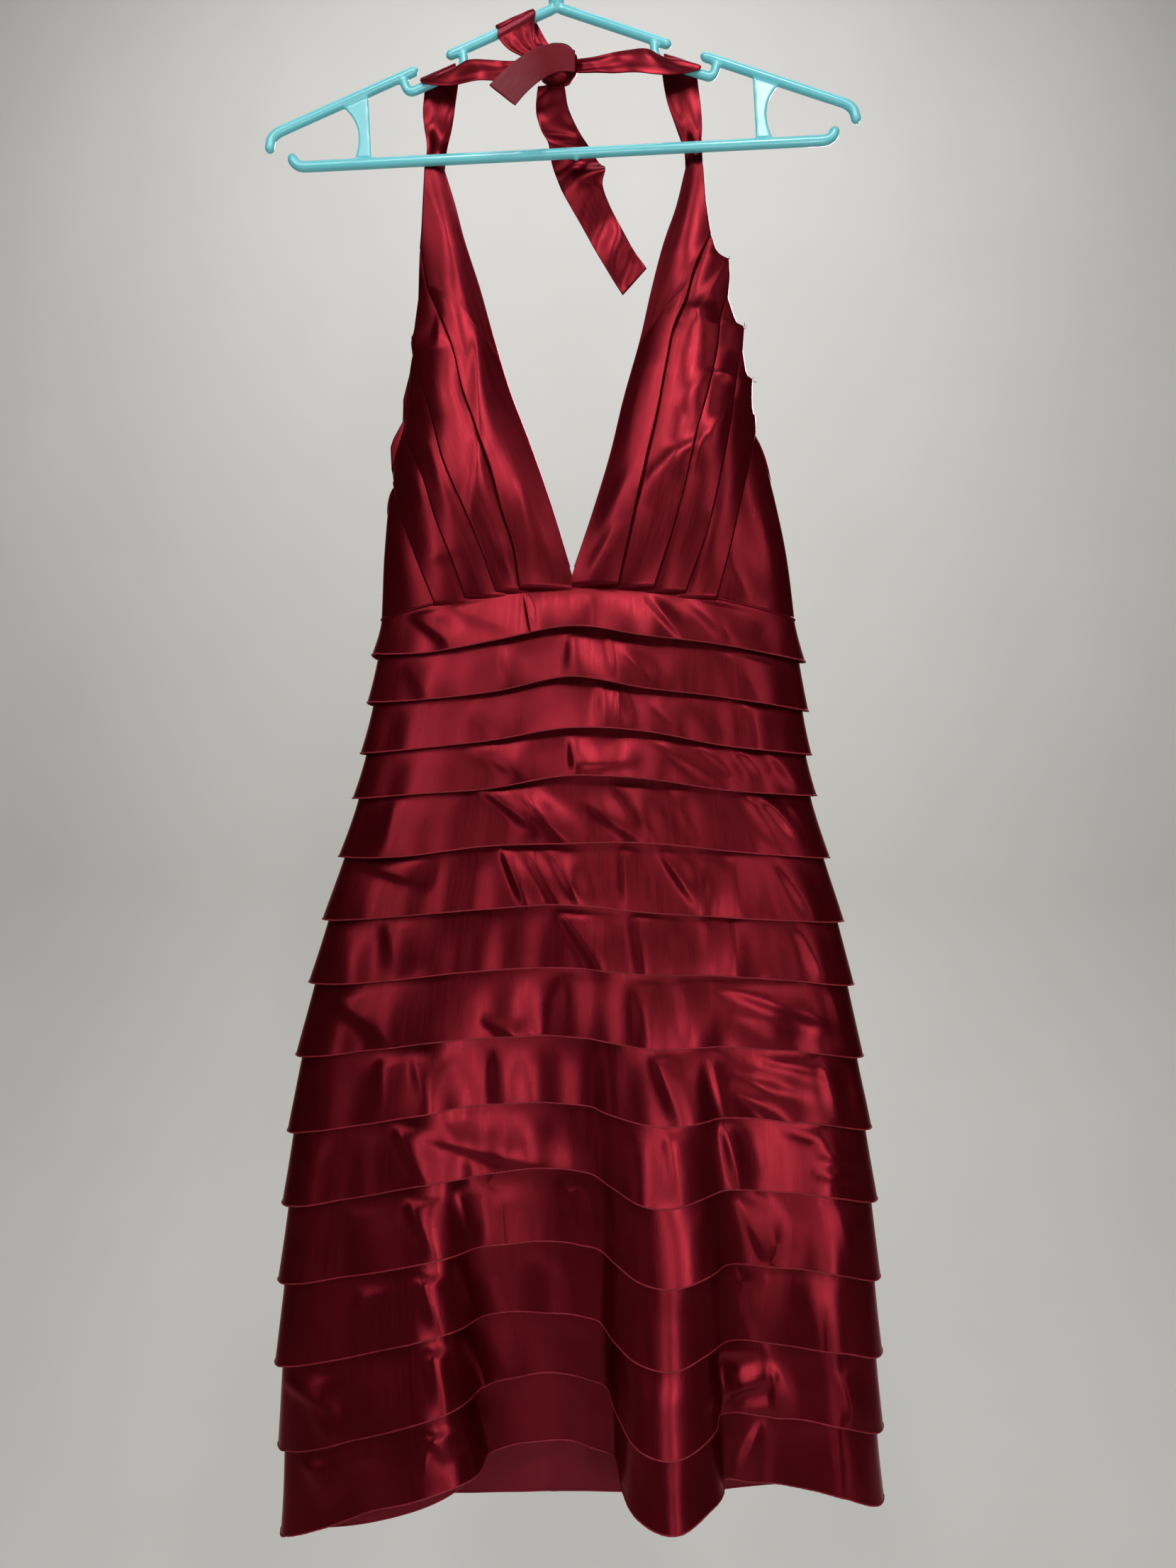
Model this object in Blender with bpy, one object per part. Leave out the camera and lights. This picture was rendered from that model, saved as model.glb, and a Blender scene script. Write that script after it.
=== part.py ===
"""Cocktail dress of red satin with a halter neck and thirteen overlapping bands, hung from a moulded hanger.

+Z is up, the front faces -Y and +X is to the right of someone who looks at the front.
The origin is the point of the hanger's hook that rests on a rail.
All sizes below are in millimetres, and new_object() turns them into metres.
"""

import math

import bmesh
import bpy
import numpy as np

MM = 0.001
SEAM_GAP = 0.4  # free space between two pieces that are sewn edge to edge

# ---------------------------------------------------------------- driving sizes of the cloth

LINING_WALL = 1.2
CLOTH_WALL = 1.0
STRAP_WALL = 1.2
WAIST_TOP = -507  # level of the waistband's upper edge at the side seams
# How far each band shows below the one above it, from the waistband down to the last one.
BAND_HEIGHTS = (30, 33, 33, 30, 42, 44, 45, 51, 50, 52, 55, 54, 58, 54)
OVERLAP = 14  # how far a band runs on up under the one above
BAND_TOP_OUT = 0.9  # a band's inner face stands this far out from the lining at its top
BAND_HEM_OUT = 4.4  # and this far at its hem
HEM = WAIST_TOP - sum(BAND_HEIGHTS)
LINING_HEM = HEM + 3
FOLD_TOP = -700  # the skirt's folds grow from this level down to the hem
FOLD_GROWTH = 1.6

# The tube of the body, a row for each level: the middle of its width, half its width, how far the front and the
# back bulge from the side seams, where the side seams lie in depth, how much nearer the left seam is than the
# right one, and how far the front's middle is drawn up above the side seams.
RINGS = (
    # level  middle  half  front  back  seam  yaw  arch
    (-186, 21, 115, 0, 0, 8, 0, 0),
    (-300, 21, 120, 12, 6, 8, 0, 4),
    (-370, 21, 125, 19, 10, 8, 0, 10),
    (-404, 21, 133, 22, 12, 8, 0, 15),
    (-460, 24, 142, 24, 15, 8, 0, 20),
    (-507, 26, 146, 25, 17, 8, 0, 21),
    (-633, 24, 159, 26, 19, 7, 1, 15),
    (-720, 23, 179, 28, 21, 6, 3, 11),
    (-815, 21, 195, 30, 23, 5, 5, 10),
    (-918, 22, 205, 31, 25, 5, 7, 6),
    (-1027, 22, 209, 31, 27, 5, 9, 2),
    (-1141, 25, 208, 31, 29, 5, 11, 0),
)
LEVEL, MIDDLE, HALF, FRONT, BACK, SEAM, YAW, ARCH = (np.array(column, float) for column in zip(*RINGS[::-1]))

# The front's hem as one walks along it from the left seam to the right one: a row for each turn of its folds.
FRONT_HEM = (
    # share  across  depth  lift
    (0.00, -183, -6, 0),  # left seam
    (0.02, -181, -14, 0),
    (0.12, -128, -30, 8),  # left lobe
    (0.255, -57, -26, 34),
    (0.31, -49, 0, 36),  # turned under
    (0.36, -30, 10, 36),  # recess
    (0.49, 26, 11, 36),
    (0.535, 52, -2, 32),  # turned out again
    (0.585, 59, -30, 18),
    (0.64, 85, -42, 8),  # column
    (0.69, 108, -28, 20),
    (0.74, 114, -4, 25),
    (0.81, 147, 10, 18),  # valley
    (0.92, 205, -8, 16),  # right lobe
    (0.98, 230, 6, 2),
    (1.00, 233, 16, 0),  # right seam
)
# The same for the back, which hangs flatter and a little lower.
BACK_HEM = (
    (0.00, -183, -6, 0),
    (0.02, -181, 2, 0),
    (0.18, -122, 28, -8),
    (0.34, -50, 34, -10),
    (0.50, 22, 39, -12),
    (0.66, 94, 34, -10),
    (0.83, 172, 38, -6),
    (0.98, 230, 26, 0),
    (1.00, 233, 16, 0),
)
# Shares of the way round at which the cloth has its columns of points: closer together where it turns.
FRONT_SHARES = np.concatenate([[0, 0.006, 0.018, 0.04, 0.075], np.linspace(0.115, 0.925, 29), [0.96, 0.982, 0.994, 1]])
BACK_SHARES = np.concatenate([[0, 0.006, 0.018, 0.045], np.linspace(0.1, 0.9, 11), [0.955, 0.982, 0.994, 1]])

# ---------------------------------------------------------------- driving sizes of the bodice

CUP_TOP = -186
CUP_ROWS = 16
BUST = 9  # how much further forward the middle of a cup stands
PLEAT_STEP = 1.6  # how far a pleat's folded edge stands above the next pleat
# A cup's outline: its inner edge along the neckline, and its outer edge.
CUP_LEFT = (
    # level  inner  outer
    (-186, -76, -90),
    (-229, -65, -92),
    (-261, -56, -93),
    (-307, -44, -99),
    (-356, -29, -104),
    (-381, -20.5, -113),
    (-409, -10.5, -111.5),
    (-450, 4, -99.5),
    (-495, 17.6, -83),
)
CUP_RIGHT = (
    (-186, 95.5, 108),
    (-237, 84, 114),
    (-272, 73, 125),
    (-311, 63, 134.5),
    (-347, 53, 141),
    (-370, 47, 144.5),
    (-409, 36.5, 136),
    (-450, 24, 127),
    (-495, 12.7, 113.5),
)
# Each pleat's folded edge: its share of the cup's width at the waist, and the level where it meets the outer edge.
PLEATS_LEFT = ((0.35, -266), (0.55, -313), (0.76, -366))
PLEATS_RIGHT = ((0.30, -256), (0.55, -283), (0.77, -316))
SIDE_TOP_LEFT, SIDE_TOP_RIGHT = -412, -374  # tops of the side panels
SIDE_BACK_ANGLE = 62  # degrees past the side seam at which a side panel ends on the back
SIDE_BACK_RISE = 7  # its height there above the waistband

# ---------------------------------------------------------------- driving sizes of the hanger

HANGER_TILT = math.radians(2.9)
ROD = 7.0  # diameter of the moulded rods
BAR = 7.6  # diameter of the trouser bar
HOOK_RADIUS = 23.0  # of the hook's middle line
PEAK = -75.5  # height of the shoulder's peak below the origin
SLOPE = 0.39  # of the shoulders
UPPER_ARM_END = 79.5
NOTCH_START, NOTCH_END = 67.5, 108.5
NOTCH_DROP = 14.0  # how far the notch's floor lies under the shoulder line
OUTER_ARM_START, OUTER_ARM_END = 100.0, 207.0
BAR_HEIGHT, BAR_END = -179.0, 184.0
PLATE_INNER, PLATE_TOP, PLATE_BOTTOM = 136.0, 156.0, 149.0
PLATE_WAIST, PLATE_WALL = 8.0, 2.6


# ---------------------------------------------------------------- helpers


def clear_scene():
    for item in list(bpy.data.objects):
        bpy.data.objects.remove(item)


def finish(name, colour, roughness):
    """A plain Principled material."""
    material = bpy.data.materials.new(name)
    material.use_nodes = True
    shader = material.node_tree.nodes["Principled BSDF"]
    shader.inputs["Base Color"].default_value = (*colour, 1)
    shader.inputs["Roughness"].default_value = roughness
    shader.inputs["Metallic"].default_value = 0
    return material


def new_object(name, points, faces, material):
    """An object from points in millimetres, with its faces turned outwards."""
    mesh = bpy.data.meshes.new(name)
    mesh.from_pydata((np.asarray(points, float) * MM).tolist(), [], faces)
    shape = bmesh.new()
    shape.from_mesh(mesh)
    bmesh.ops.recalc_face_normals(shape, faces=shape.faces)
    shape.to_mesh(mesh)
    shape.free()
    mesh.materials.append(material)
    thing = bpy.data.objects.new(name, mesh)
    bpy.context.scene.collection.objects.link(thing)
    return thing


def wall(name, outer, inner, material):
    """Closes two grids of points, rows by columns, into one thin solid. Both skins are cut into triangles along the
    same diagonals, so that they never cross where the cloth is twisted."""
    rows, columns = outer.shape[:2]
    points = np.concatenate([outer.reshape(-1, 3), inner.reshape(-1, 3)])
    index = np.arange(2 * rows * columns).reshape(2, rows, columns)
    faces = []
    for face, order in ((index[0], 1), (index[1], -1)):
        first = np.stack([face[:-1, :-1], face[:-1, 1:], face[1:, 1:]], axis=-1)
        second = np.stack([face[:-1, :-1], face[1:, 1:], face[1:, :-1]], axis=-1)
        faces += np.concatenate([first, second]).reshape(-1, 3)[:, ::order].tolist()
    for rim in (index[:, 0, :], index[:, -1, :], index[:, :, 0], index[:, :, -1]):
        faces += np.stack([rim[0, :-1], rim[0, 1:], rim[1, 1:], rim[1, :-1]], axis=-1).tolist()
    return new_object(name, points, faces, material)


def eased(at, stations, values):
    """The smooth curve through the values at the stations, read at one or more places."""
    stations, values = np.asarray(stations, float), np.asarray(values, float)
    slopes = np.gradient(values, stations)
    at = np.clip(at, stations[0], stations[-1])
    i = np.clip(np.searchsorted(stations, at, side="right") - 1, 0, len(stations) - 2)
    span = stations[i + 1] - stations[i]
    t = (at - stations[i]) / span
    start = (2 * t**3 - 3 * t**2 + 1) * values[i] + (t**3 - 2 * t**2 + t) * span * slopes[i]
    end = (3 * t**2 - 2 * t**3) * values[i + 1] + (t**3 - t**2) * span * slopes[i + 1]
    return start + end


# ---------------------------------------------------------------- the tube of the body


def angle_at(share):
    """The angle round an ellipse, from -90 degrees at the left seam to 90 at the right one, so that equal shares
    are equal lengths of cloth."""
    angles = np.linspace(-math.pi / 2, math.pi / 2, 721)
    typical_half, typical_bulge = 180, 27
    steps = np.hypot(typical_half * np.diff(np.sin(angles)), typical_bulge * np.diff(np.cos(angles)))
    along = np.concatenate([[0], np.cumsum(steps)])
    return np.interp(share, along / along[-1], angles)


def ring(share, level, face):
    """The unfolded tube: face -1 is the front and 1 the back."""
    angle = angle_at(share)
    bulge = eased(level, LEVEL, FRONT if face < 0 else BACK)
    x = eased(level, LEVEL, MIDDLE) + eased(level, LEVEL, HALF) * np.sin(angle)
    y = eased(level, LEVEL, SEAM) + eased(level, LEVEL, YAW) * np.sin(angle) + face * bulge * np.cos(angle) ** 0.85
    z = level + (eased(level, LEVEL, ARCH) * np.cos(angle) ** 2.2 if face < 0 else 0)
    return np.stack(np.broadcast_arrays(x, y, z), axis=-1)


def cloth(share, level, face):
    """The tube with its folds, which grow from FOLD_TOP down to the hem."""
    table = np.array(FRONT_HEM if face < 0 else BACK_HEM, float)
    place = np.stack([eased(share, table[:, 0], table[:, column]) for column in (1, 2, 3)], axis=-1)
    flat = ring(share, HEM, face)
    fold = np.concatenate([place[..., :2] - flat[..., :2], place[..., 2:]], axis=-1)
    growth = np.clip((FOLD_TOP - level) / (FOLD_TOP - HEM), 0, 1) ** FOLD_GROWTH
    return ring(share, level, face) + growth[..., None] * fold


def layer(share, level, out, face):
    """Points that stand a distance out from the lining, square to it in plan."""
    share, level, out = np.broadcast_arrays(share, level, out)
    step = 0.002
    along = cloth(share + step, level, face) - cloth(share - step, level, face)
    normal = np.stack([along[..., 1], -along[..., 0], np.zeros_like(level)], axis=-1) * -face
    normal /= np.linalg.norm(normal, axis=-1, keepdims=True)
    return cloth(share, level, face) + out[..., None] * normal


def columns_of(face, gap):
    """Shares of the cloth's columns, short of the side seams by half a gap."""
    shares = FRONT_SHARES if face < 0 else BACK_SHARES
    short = 0.5 * gap / 400
    return short + shares * (1 - 2 * short)


def tube_wall(name, levels, outs, thickness, face, material, gap=SEAM_GAP):
    """One wall of the tube: outs gives its inner face's distance from the lining at each level."""
    share = columns_of(face, gap)[None, :]
    level, out = (np.array(values, float)[:, None] for values in (levels, outs))
    outer = layer(share, level, out + thickness, face)
    inner = layer(share, level, out, face)
    return wall(name, outer, inner, material)


def lining(face, material):
    levels = np.concatenate([np.linspace(WAIST_TOP - 4, FOLD_TOP, 4), np.linspace(FOLD_TOP, LINING_HEM, 8)[1:]])
    outs = np.full(len(levels), -LINING_WALL)
    tube_wall(f"lining_{side_name(face)}", levels, outs, LINING_WALL, face, material, 3 * SEAM_GAP)


def side_name(face):
    return "front" if face < 0 else "back"


def bands(face, material):
    """The waistband and the bands below it, each lapped over the next."""
    hem = WAIST_TOP
    for number, height in enumerate(BAND_HEIGHTS):
        top = hem + (OVERLAP if number else 0)
        hem -= height
        name = f"band_{number:02d}_{side_name(face)}" if number else f"waistband_{side_name(face)}"
        tube_wall(name, (top, hem), (BAND_TOP_OUT, BAND_HEM_OUT), CLOTH_WALL, face, material)


# ---------------------------------------------------------------- bodice


def front_y(x, level):
    """Depth of the bodice's front at a place across it."""
    across = np.clip((x - eased(level, LEVEL, MIDDLE)) / eased(level, LEVEL, HALF), -1, 1)
    return eased(level, LEVEL, SEAM) - eased(level, LEVEL, FRONT) * np.sqrt(1 - across**2)


def waist_edge(x):
    """Height of the waistband's upper edge at a place across the front."""
    across = np.clip((x - eased(WAIST_TOP, LEVEL, MIDDLE)) / eased(WAIST_TOP, LEVEL, HALF), -1, 1)
    return WAIST_TOP + eased(WAIST_TOP, LEVEL, ARCH) * (1 - across**2) ** 1.1


def cup_columns(pleats):
    """A cup's columns as shares of its width at the waist, each with the level where it reaches the outer edge
    (none for the two outlines) and how far it stands forward: a pleat's folded edge is two columns close together."""
    rows = [(0.0, None, 0.0)]
    before = 0.0
    for share, meets in pleats:
        rows.append(((before + share) / 2, meets + 20, 0.5 * PLEAT_STEP))
        rows.append((share - 0.012, meets, PLEAT_STEP))
        rows.append((share + 0.012, meets - 4, 0.0))
        before = share
    rows.append(((before + 1) / 2, pleats[-1][1] - 30, 0.5 * PLEAT_STEP))
    rows.append((1.0, None, PLEAT_STEP))
    return rows


def cup(name, outline, pleats, material):
    """One pleated cup, from the waistband up to the strap."""
    level, inner, outer = np.array(outline[::-1], float).T
    columns = cup_columns(pleats)
    top = np.linspace(0, 1, CUP_ROWS)[:, None]
    count = len(columns) - 1
    grid = np.zeros((CUP_ROWS, len(columns), 3))
    for number, (share, meets, forward) in enumerate(columns):
        edge = inner[0] + (outer[0] - inner[0]) * share
        foot = waist_edge(edge) + SEAM_GAP
        z = foot + top[:, 0] * (CUP_TOP - foot)
        least = number / count * 0.96 if number < count else 1.0
        if meets is None:
            place = np.full(CUP_ROWS, share)
        else:
            rise = np.clip((z - foot) / (meets - foot), 0, 1)
            crowded = 1 - (count - number) * 0.035
            place = share + (crowded - share) * rise**1.25
            place = np.where(z > meets, crowded + (least - crowded) * (z - meets) / (CUP_TOP - meets), place)
            forward = forward * np.clip((meets - z) / 30, 0, 1)
        x = eased(z, level, inner) * (1 - place) + eased(z, level, outer) * place
        swell = BUST * np.sin(math.pi * np.clip(place, 0, 1)) * 6.75 * top[:, 0] * (1 - top[:, 0]) ** 2
        y = front_y(x, z) - BAND_TOP_OUT - CLOTH_WALL - swell - forward
        grid[:, number] = np.stack([x, y, z], axis=-1)
    wall(name, grid, grid + (0, CLOTH_WALL, 0), material)


def side_panel(name, outline, top_level, hand, material):
    """The plain panel from a cup's outer edge round the side to the back. hand is -1 on the left and 1 on the right."""
    level, _, outer = np.array(outline[::-1], float).T
    round_it = np.linspace(0, 1, 11)
    up = np.linspace(0, 1, 7)
    grid = np.zeros((2, len(up), len(round_it), 3))
    back_angle = math.radians(90 + SIDE_BACK_ANGLE)
    for row, rise in enumerate(up):
        for column, share in enumerate(round_it):
            crest = top_level + (WAIST_TOP + SIDE_BACK_RISE - top_level) * share**1.4
            foot_x = outer[0] + hand * share * 40
            foot = (waist_edge(foot_x) if share < 0.4 else WAIST_TOP) + SEAM_GAP
            z = foot + rise * (crest - foot)
            middle, half = eased(z, LEVEL, MIDDLE), eased(z, LEVEL, HALF)
            start_x = eased(z, level, outer) + hand * SEAM_GAP
            start = math.asin(min(0.985, abs(start_x - middle) / half))
            angle = start + (back_angle - start) * share
            bulge = eased(z, LEVEL, FRONT) if angle < math.pi / 2 else eased(z, LEVEL, BACK)
            for skin, out in enumerate((BAND_TOP_OUT + CLOTH_WALL, BAND_TOP_OUT)):
                x = middle + hand * (half + out) * math.sin(angle)
                y = eased(z, LEVEL, SEAM) - (bulge + out) * math.cos(angle)
                grid[skin, row, column] = (x, y, z)
    wall(name, grid[0], grid[1], material)


# ---------------------------------------------------------------- straps and knot


def over_rod(x, z, lean, width, rod=ROD):
    """Stations of a strap that comes up behind a rod, turns over it and comes down in front."""
    clear = rod / 2 + 0.9 + STRAP_WALL / 2
    rows = []
    for turn in (0, 45, 90, 135, 180):
        up, back = clear * math.sin(math.radians(turn)), clear * math.cos(math.radians(turn))
        slant = math.radians(lean)
        rows.append((x - up * math.sin(slant), back, z + up * math.cos(slant), width, lean, 0))
    return tuple(rows)


def strap(name, stations, material, steps=3):
    """A flat strap through its stations: middle, width, the lean of its width from level, and how far it turns away."""
    table = np.array(stations, float)
    place = np.arange(len(table))
    fine = np.linspace(0, len(table) - 1, (len(table) - 1) * steps + 1)
    x, y, z, width, lean, turn = (eased(fine, place, column) for column in table.T)
    middle = np.stack([x, y, z], axis=-1)
    lean, turn = np.radians(lean), np.radians(turn)
    across = np.stack([np.cos(lean) * np.cos(turn), np.sin(turn), np.sin(lean) * np.cos(turn)], axis=-1)
    along = np.gradient(middle, axis=0)
    normal = np.cross(along, across)
    normal *= STRAP_WALL / 2 / np.linalg.norm(normal, axis=-1, keepdims=True)
    half = across * width[:, None] / 2
    edges = np.stack([middle - half, middle, middle + half], axis=1)
    wall(name, edges + normal[:, None], edges - normal[:, None], material)


LEFT_STRAP = (
    # x  y  z  width  lean  turn
    (-83, 8, -185.5, 14, 0, 0),
    (-82, 9, -171, 15, 0, 28),
    (-81, 8.5, -155, 20, 2, 12),
    (-80, 7.5, -141, 24, 12, 0),
    *over_rod(-78, -126.0, 24, 27),
    (-66, -7.5, -126.5, 23, 52, 0),
    (-50, -8.5, -125, 17, 74, 8),
    (-33, -8.5, -125.5, 13, 90, 0),
    (-15, -6, -123, 12, 90, 0),
)
RIGHT_STRAP = (
    (101.7, 8, -185.5, 12.5, 0, 0),
    (101, 9, -171, 13.5, 0, -28),
    (98, 8.5, -154, 19, -2, -12),
    (94, 7.5, -137, 25, -10, 0),
    *over_rod(91, -118.1, -18, 27),
    (76, -8, -119, 24, -50, 0),
    (58, -9, -119, 18, -76, -8),
    (41, -9, -121, 16, -90, 0),
    (25.5, -6, -122, 13, -90, 0),
)
ARM_LOOP = (
    (-3, 4.5, -103, 14, 0, 0),
    (-12, 6.5, -99, 20, 12, 0),
    *over_rod(-24, -88.2, 24, 29),
    (-24, -8.5, -98, 27, 20, 0),
    (-20, -9, -108, 20, 16, 0),
    (-16, -9.5, -112, 16, 12, 0),
)
SHORT_TAIL = (
    (17, -14.5, -122, 15, -90, 0),
    (6, -16, -121, 19, -84, 0),
    (-4, -20, -126, 21, -70, 0),
    (-14, -34, -141, 21, -52, 0),
    (-22, -58, -164, 21, -42, 0),
    (-28, -85, -189, 21, -38, 0),
)
LONG_TAIL = (
    (1, 0, -133.5, 19, 0, 0),
    (2, 3, -148, 22, 0, 8),
    (4, 8, -162, 24, -4, 28),
    (13, 11, -175, 24, -12, 34),
    (21, 12, -188, 24, 4, -22),
    (26, 14, -200, 23, 22, -8),
    (36, 18, -222, 20, 28, 0),
    (48, 21, -242, 20, 30, 0),
    (61, 23, -261, 25, 51, 0),
)
KNOT_MIDDLE = np.array((4.5, -3.5, -118.5))
KNOT_HALF = np.array((14.0, 8.5, 14.0))


def knot(material):
    """The tied knot: a ball pressed flat, with a waist where the last turn draws it in."""
    shape = bmesh.new()
    bmesh.ops.create_icosphere(shape, subdivisions=3, radius=1)
    points = np.array([vertex.co for vertex in shape.verts])
    faces = [[vertex.index for vertex in face.verts] for face in shape.faces]
    shape.free()
    squared = np.sign(points) * np.abs(points) ** 0.8
    drawn_in = 1 - 0.1 * np.exp(-((points[:, :1] / 0.35) ** 2))
    new_object("knot", KNOT_MIDDLE + squared * KNOT_HALF * drawn_in, faces, material)


# ---------------------------------------------------------------- hanger


def hung(across, height):
    """A place on the hanger, which hangs a little askew."""
    return (
        across * math.cos(HANGER_TILT) - height * math.sin(HANGER_TILT),
        0.0,
        across * math.sin(HANGER_TILT) + height * math.cos(HANGER_TILT),
    )


def rod(name, route, diameter, material):
    """A moulded rod along a route of (across, height) places."""
    curve = bpy.data.curves.new(name, "CURVE")
    curve.dimensions = "3D"
    curve.bevel_depth = diameter / 2 * MM
    curve.bevel_resolution = 3
    curve.use_fill_caps = True
    line = curve.splines.new("POLY")
    line.points.add(len(route) - 1)
    for point, place in zip(line.points, route):
        point.co = (*(MM * value for value in hung(*place)), 1)
    curve.materials.append(material)
    thing = bpy.data.objects.new(name, curve)
    bpy.context.scene.collection.objects.link(thing)


def arc(middle, radius, start, end, count):
    """Places along an arc, by angles in degrees from the right."""
    angles = np.radians(np.linspace(start, end, count))
    return [(middle[0] + radius * math.cos(a), middle[1] + radius * math.sin(a)) for a in angles]


def shoulder(across):
    """Height of the shoulder line."""
    return PEAK - SLOPE * abs(across)


def hook(material):
    """The neck and the question-mark hook, whose inner top is the origin."""
    middle = (0.0, ROD / 2 - HOOK_RADIUS)
    start = PEAK + ROD / 2 + SEAM_GAP
    turn = arc((6.0, middle[1] - HOOK_RADIUS - 1.0), 6.0, 180, 115, 4)
    bow = arc(middle, HOOK_RADIUS, -64, 196, 22)
    rod("hanger_hook", [(0.0, start), (0.0, start + 10.0), *turn, *bow], ROD, material)


def hanger(material):
    reach = (ROD / 2 + SEAM_GAP) / math.cos(math.atan(SLOPE))
    bar_clear = BAR / 2 + SEAM_GAP
    half_peak = ROD / 2 + 0.2
    for name, hand in (("left", -1), ("right", 1)):
        arm = [(hand * across, shoulder(across)) for across in (half_peak, UPPER_ARM_END)]
        rod(f"hanger_upper_arm_{name}", arm, ROD, material)
        floor_start = shoulder(NOTCH_START) - NOTCH_DROP
        floor_end = shoulder(NOTCH_END) - NOTCH_DROP
        notch = [
            (hand * NOTCH_START, shoulder(NOTCH_START) - reach - 1.3),
            (hand * NOTCH_START, floor_start + 3),
            (hand * (NOTCH_START + 3), floor_start - 1),
            (hand * (NOTCH_END - 3), floor_end + 1.5),
            (hand * NOTCH_END, floor_end + 3),
            (hand * (NOTCH_END + 3), shoulder(NOTCH_END + 3) - reach - 1.3),
        ]
        rod(f"hanger_notch_{name}", notch, ROD - 1, material)
        tip = (OUTER_ARM_END + 1, shoulder(OUTER_ARM_END) - 12)
        outer_arm = [(hand * across, shoulder(across)) for across in (OUTER_ARM_START, OUTER_ARM_END - 6)]
        outer_arm += [(hand * (OUTER_ARM_END - 1), shoulder(OUTER_ARM_END) - 2), (hand * tip[0], tip[1])]
        rod(f"hanger_outer_arm_{name}", outer_arm, ROD, material)
        plate(f"hanger_plate_{name}", hand, reach, bar_clear, material)
    ends = arc((BAR_END, BAR_HEIGHT + 8.0), 8.0, -90, 10, 6)
    route = [(-across, height) for across, height in ends[::-1]] + [(0.0, BAR_HEIGHT)] + ends
    rod("hanger_bar", route, BAR, material)


def plate(name, hand, reach, bar_clear, material):
    """The flat web between the outer arm and the bar, hollowed on its outer edge."""
    foot = BAR_HEIGHT + bar_clear
    steps = np.linspace(0, 1, 9)
    outline = []
    for step in steps:
        across = PLATE_BOTTOM + (PLATE_TOP - PLATE_BOTTOM) * step - PLATE_WAIST * math.sin(math.pi * step)
        outline.append((across, foot + (shoulder(across) - reach - foot) * step))
    ring_of = [(PLATE_INNER, foot), *outline, (PLATE_INNER, shoulder(PLATE_INNER) - reach)]
    count = len(ring_of)
    points = [
        (x, y, z) for y in (-PLATE_WALL / 2, PLATE_WALL / 2) for x, _, z in (hung(hand * a, h) for a, h in ring_of)
    ]
    faces = [list(range(count)), list(range(2 * count - 1, count - 1, -1))]
    faces += [[i, (i + 1) % count, count + (i + 1) % count, count + i] for i in range(count)]
    new_object(name, points, faces, material)


# ---------------------------------------------------------------- the whole


def build():
    clear_scene()
    satin = finish("satin", (0.32, 0.012, 0.026), 0.38)
    lining_cloth = finish("lining", (0.20, 0.012, 0.022), 0.7)
    plastic = finish("hanger_plastic", (0.18, 0.58, 0.62), 0.3)
    for face in (-1, 1):
        lining(face, lining_cloth)
        bands(face, satin)
    cup("cup_left", CUP_LEFT, PLEATS_LEFT, satin)
    cup("cup_right", CUP_RIGHT, PLEATS_RIGHT, satin)
    side_panel("side_panel_left", CUP_LEFT, SIDE_TOP_LEFT, -1, satin)
    side_panel("side_panel_right", CUP_RIGHT, SIDE_TOP_RIGHT, 1, satin)
    strap("strap_left", LEFT_STRAP, satin)
    strap("strap_right", RIGHT_STRAP, satin)
    strap("arm_loop", ARM_LOOP, satin)
    strap("tail_short", SHORT_TAIL, satin)
    strap("tail_long", LONG_TAIL, satin)
    knot(satin)
    hook(plastic)
    hanger(plastic)


build()
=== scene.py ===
# %% [markdown]
# # A red satin cocktail dress on its hanger
#
# The real dress is sewn from a few kinds of pieces: two pleated cups, two side panels, a waistband, thirteen bands
# that lap over one another like shingles, a lining, and two ties that are knotted over a moulded plastic hanger.
#
# The frame comes first. It is the measured solid model, and every piece below stands in for one or more of its nodes.

# %% The frame
import math

import bmesh
import bpy
import numpy as np
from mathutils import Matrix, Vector


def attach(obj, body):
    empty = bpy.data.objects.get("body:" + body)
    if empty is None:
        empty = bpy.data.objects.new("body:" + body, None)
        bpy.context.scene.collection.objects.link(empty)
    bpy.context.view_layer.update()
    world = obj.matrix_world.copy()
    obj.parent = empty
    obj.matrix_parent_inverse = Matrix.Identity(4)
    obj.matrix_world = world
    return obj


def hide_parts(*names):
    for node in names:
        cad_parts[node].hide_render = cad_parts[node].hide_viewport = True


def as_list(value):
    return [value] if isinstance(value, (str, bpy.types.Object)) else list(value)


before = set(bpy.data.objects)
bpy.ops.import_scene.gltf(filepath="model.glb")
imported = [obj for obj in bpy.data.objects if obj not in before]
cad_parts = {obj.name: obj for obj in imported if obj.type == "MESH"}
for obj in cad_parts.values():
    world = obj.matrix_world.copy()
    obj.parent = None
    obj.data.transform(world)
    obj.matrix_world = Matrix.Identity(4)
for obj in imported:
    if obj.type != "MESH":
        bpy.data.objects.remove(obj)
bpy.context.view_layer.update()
MM = 0.001
print("nodes in the frame:", len(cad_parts))

# %% [markdown]
# ## Materials
#
# Satin floats its long threads on the face, so it is glossy along them and its highlights take the colour of the
# thread. A shader can show that with a coloured mirror part, a medium roughness and some anisotropy. The alternative,
# a plain dielectric gloss, gives white highlights like vinyl, so the metallic share is set high instead.
#
# Constants are typed on the shader's own sockets. Only what changes over the cloth goes through nodes: a slight
# unevenness of dye and sheen, and the bump of the weave.


# %% Node helpers
NOISE_LOW, NOISE_HIGH = 0.3, 0.7  # the part of the noise's range that is spread over a colour or a roughness


def set_sockets(node, **sockets):
    """Constants on a node's sockets, with _ for each space in a socket's name. Returns the node."""
    for socket, value in sockets.items():
        node.inputs[socket.replace("_", " ")].default_value = value
    return node


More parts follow.
